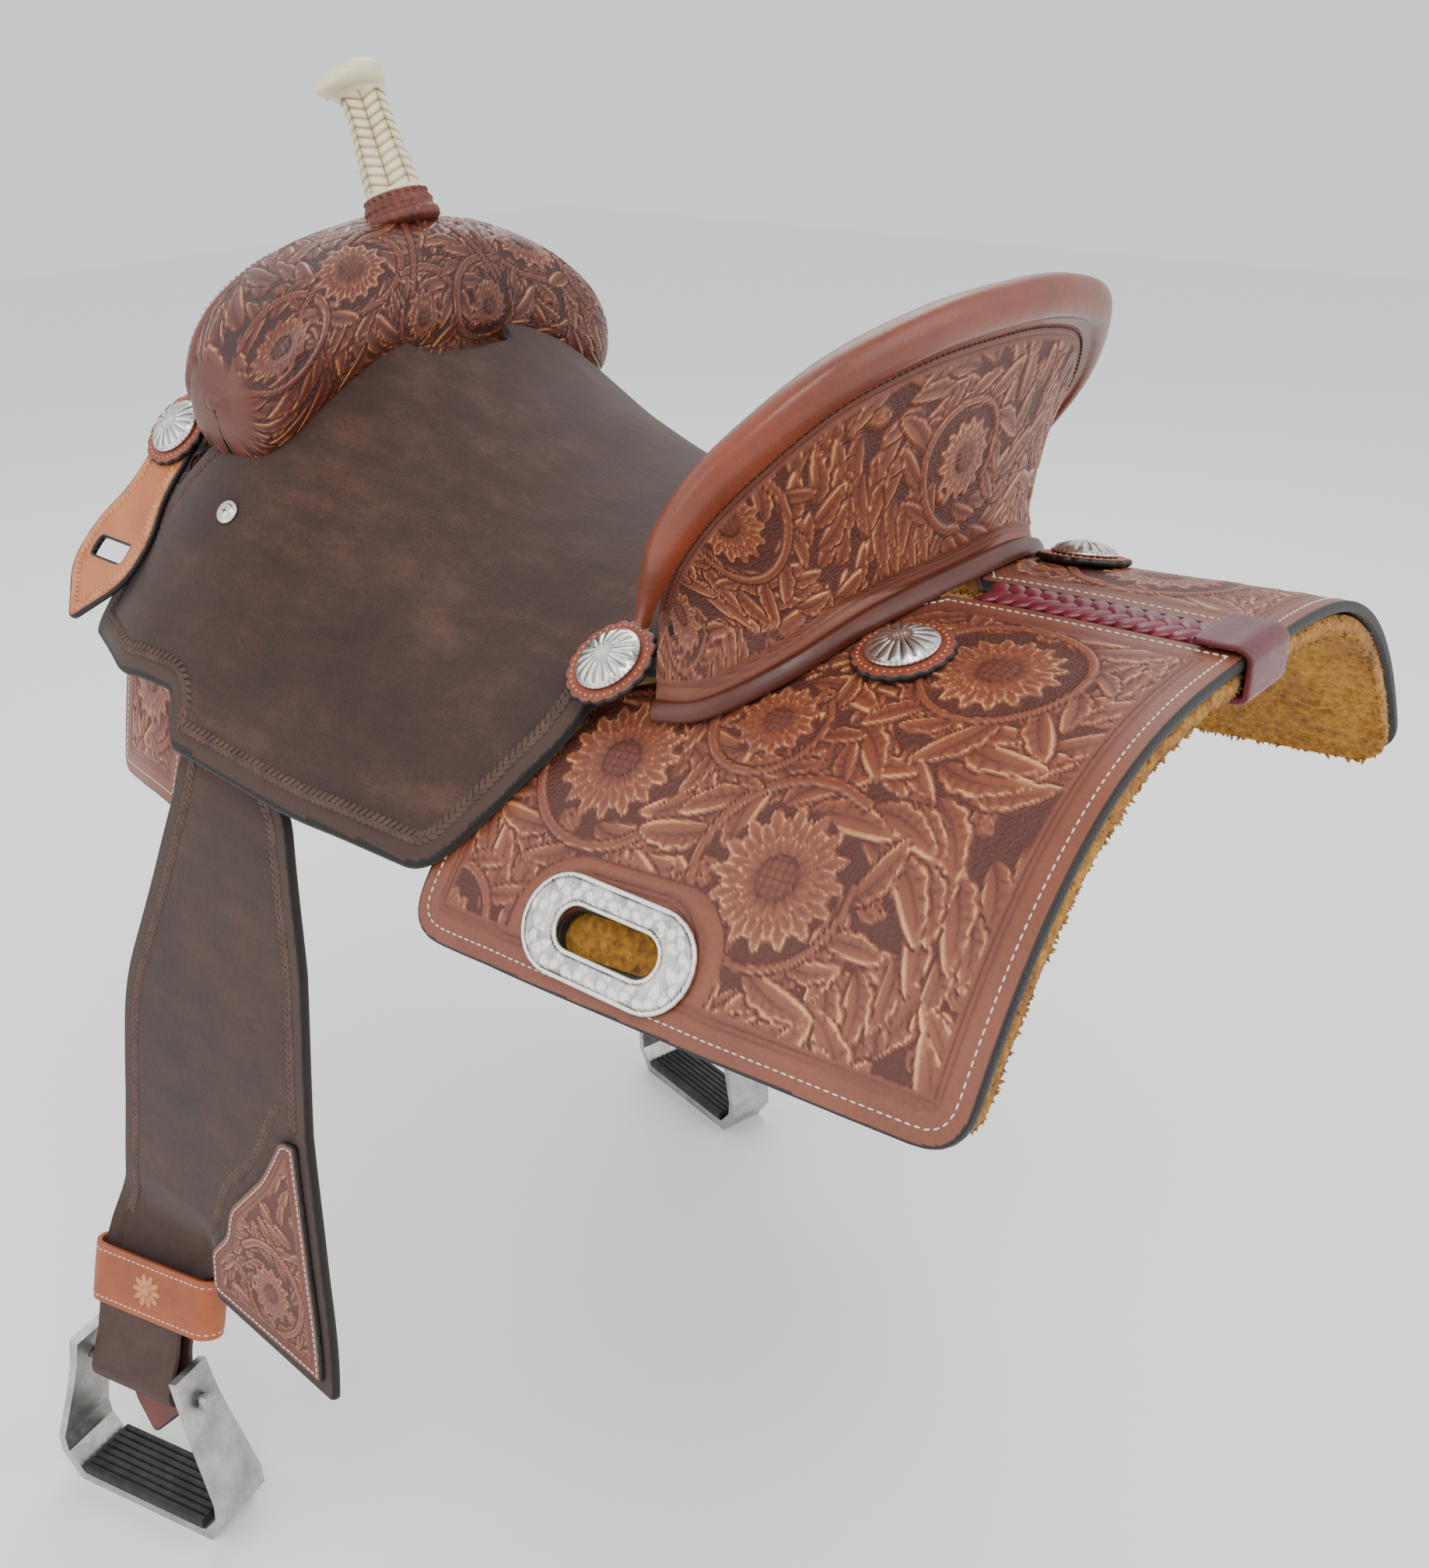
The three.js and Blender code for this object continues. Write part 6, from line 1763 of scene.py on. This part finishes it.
def hobble_flower(petals=10, radius=8, lift=13.2):
    a = np.arange(petals) * 2 * math.pi / petals
    spot = at_bolt(HOBBLE_MID + radius * np.cos(a), HOBBLE_UP + radius * np.sin(a), lift)
    forward = ALONG * np.cos(a)[:, None] + STRAP_UP * np.sin(a)[:, None]
    eye = scatter(at_bolt(HOBBLE_MID, HOBBLE_UP, lift)[None], ALONG[None], STRAP_OUT[None],
                  bead(8, 8, 1.2, 0, 0.4, 16))
    petal = bead(9.5, 4.6, 0.9, 0, 0.4, 12)
    return joined([scatter(spot, forward, np.tile(STRAP_OUT, (petals, 1)), petal), eye])


pair("hobble_stitches", hobble_stitches(), THREAD, "fender_")
pair("hobble_flower", hobble_flower(), STAMP_TAN, "fender_")

# ---------------------------------------------------------------- carried-over solids
def finish_node(name, material, bevel=0.0, segments=3):
    obj = bpy.data.objects[name]
    obj.data.materials.clear()
    obj.data.materials.append(material)
    if bevel:
        m = obj.modifiers.new("edges", "BEVEL")
        m.width, m.segments, m.limit_method = bevel / 1000, segments, "ANGLE"
        m.angle_limit = math.radians(35)
        m.harden_normals = False


for side in ("near", "off"):
    finish_node(f"stirrup_{side}", ALUMINIUM, 1.4)
    finish_node(f"stirrup_bolt_{side}", STEEL, 0.6)
    finish_node(f"stirrup_tread_{side}", RUBBER, 0.4, 2)
    finish_node(f"blevins_buckle_{side}", STEEL, 0.6)
    finish_node(f"tree_bar_{side}", WOOD)
for name in ("fork_core", "ground_seat", "cantle_core"):
    finish_node(name, WOOD)
finish_node("horn_core", STEEL)
finish_node("fork_cover", COVER)

# ---------------------------------------------------------------- floor and light
low = CAD_BOX[0][2]
floor_mesh = bpy.data.meshes.new("floor")
floor_mesh.from_pydata([(-6, -6, low), (6, -6, low), (6, 6, low), (-6, 6, low)], [], [(0, 1, 2, 3)])
floor = bpy.data.objects.new("floor", floor_mesh)
bpy.context.scene.collection.objects.link(floor)
FLOOR = Look("floor", 0.9)
FLOOR.shader.inputs["Base Color"].default_value = (0.93, 0.93, 0.92, 1)
floor_mesh.materials.append(FLOOR.mat)


def softbox(name, at, aim, size, power):
    light = bpy.data.lights.new(name, "AREA")
    light.size, light.energy = size, power
    light.color = (1.0, 0.985, 0.96)
    obj = bpy.data.objects.new(name, light)
    obj.location = at
    obj.rotation_euler = (Vector(aim) - Vector(at)).to_track_quat("-Z", "Y").to_euler()
    bpy.context.scene.collection.objects.link(obj)


softbox("key", (1.2, 1.6, 2.3), (0.05, 0, -0.1), 1.6, 46)
softbox("fill", (2.4, -1.0, 0.9), (0, 0, -0.2), 2.2, 20)
softbox("rim", (-1.6, -1.4, 1.9), (0, 0, 0), 1.8, 30)
softbox("rear", (-1.2, 2.4, 0.9), (0, 0, -0.1), 1.8, 18)
world = bpy.data.worlds.new("studio")
world.use_nodes = True
world.node_tree.nodes["Background"].inputs["Color"].default_value = (0.95, 0.97, 1.0, 1)
world.node_tree.nodes["Background"].inputs["Strength"].default_value = 1.1
bpy.context.scene.world = world
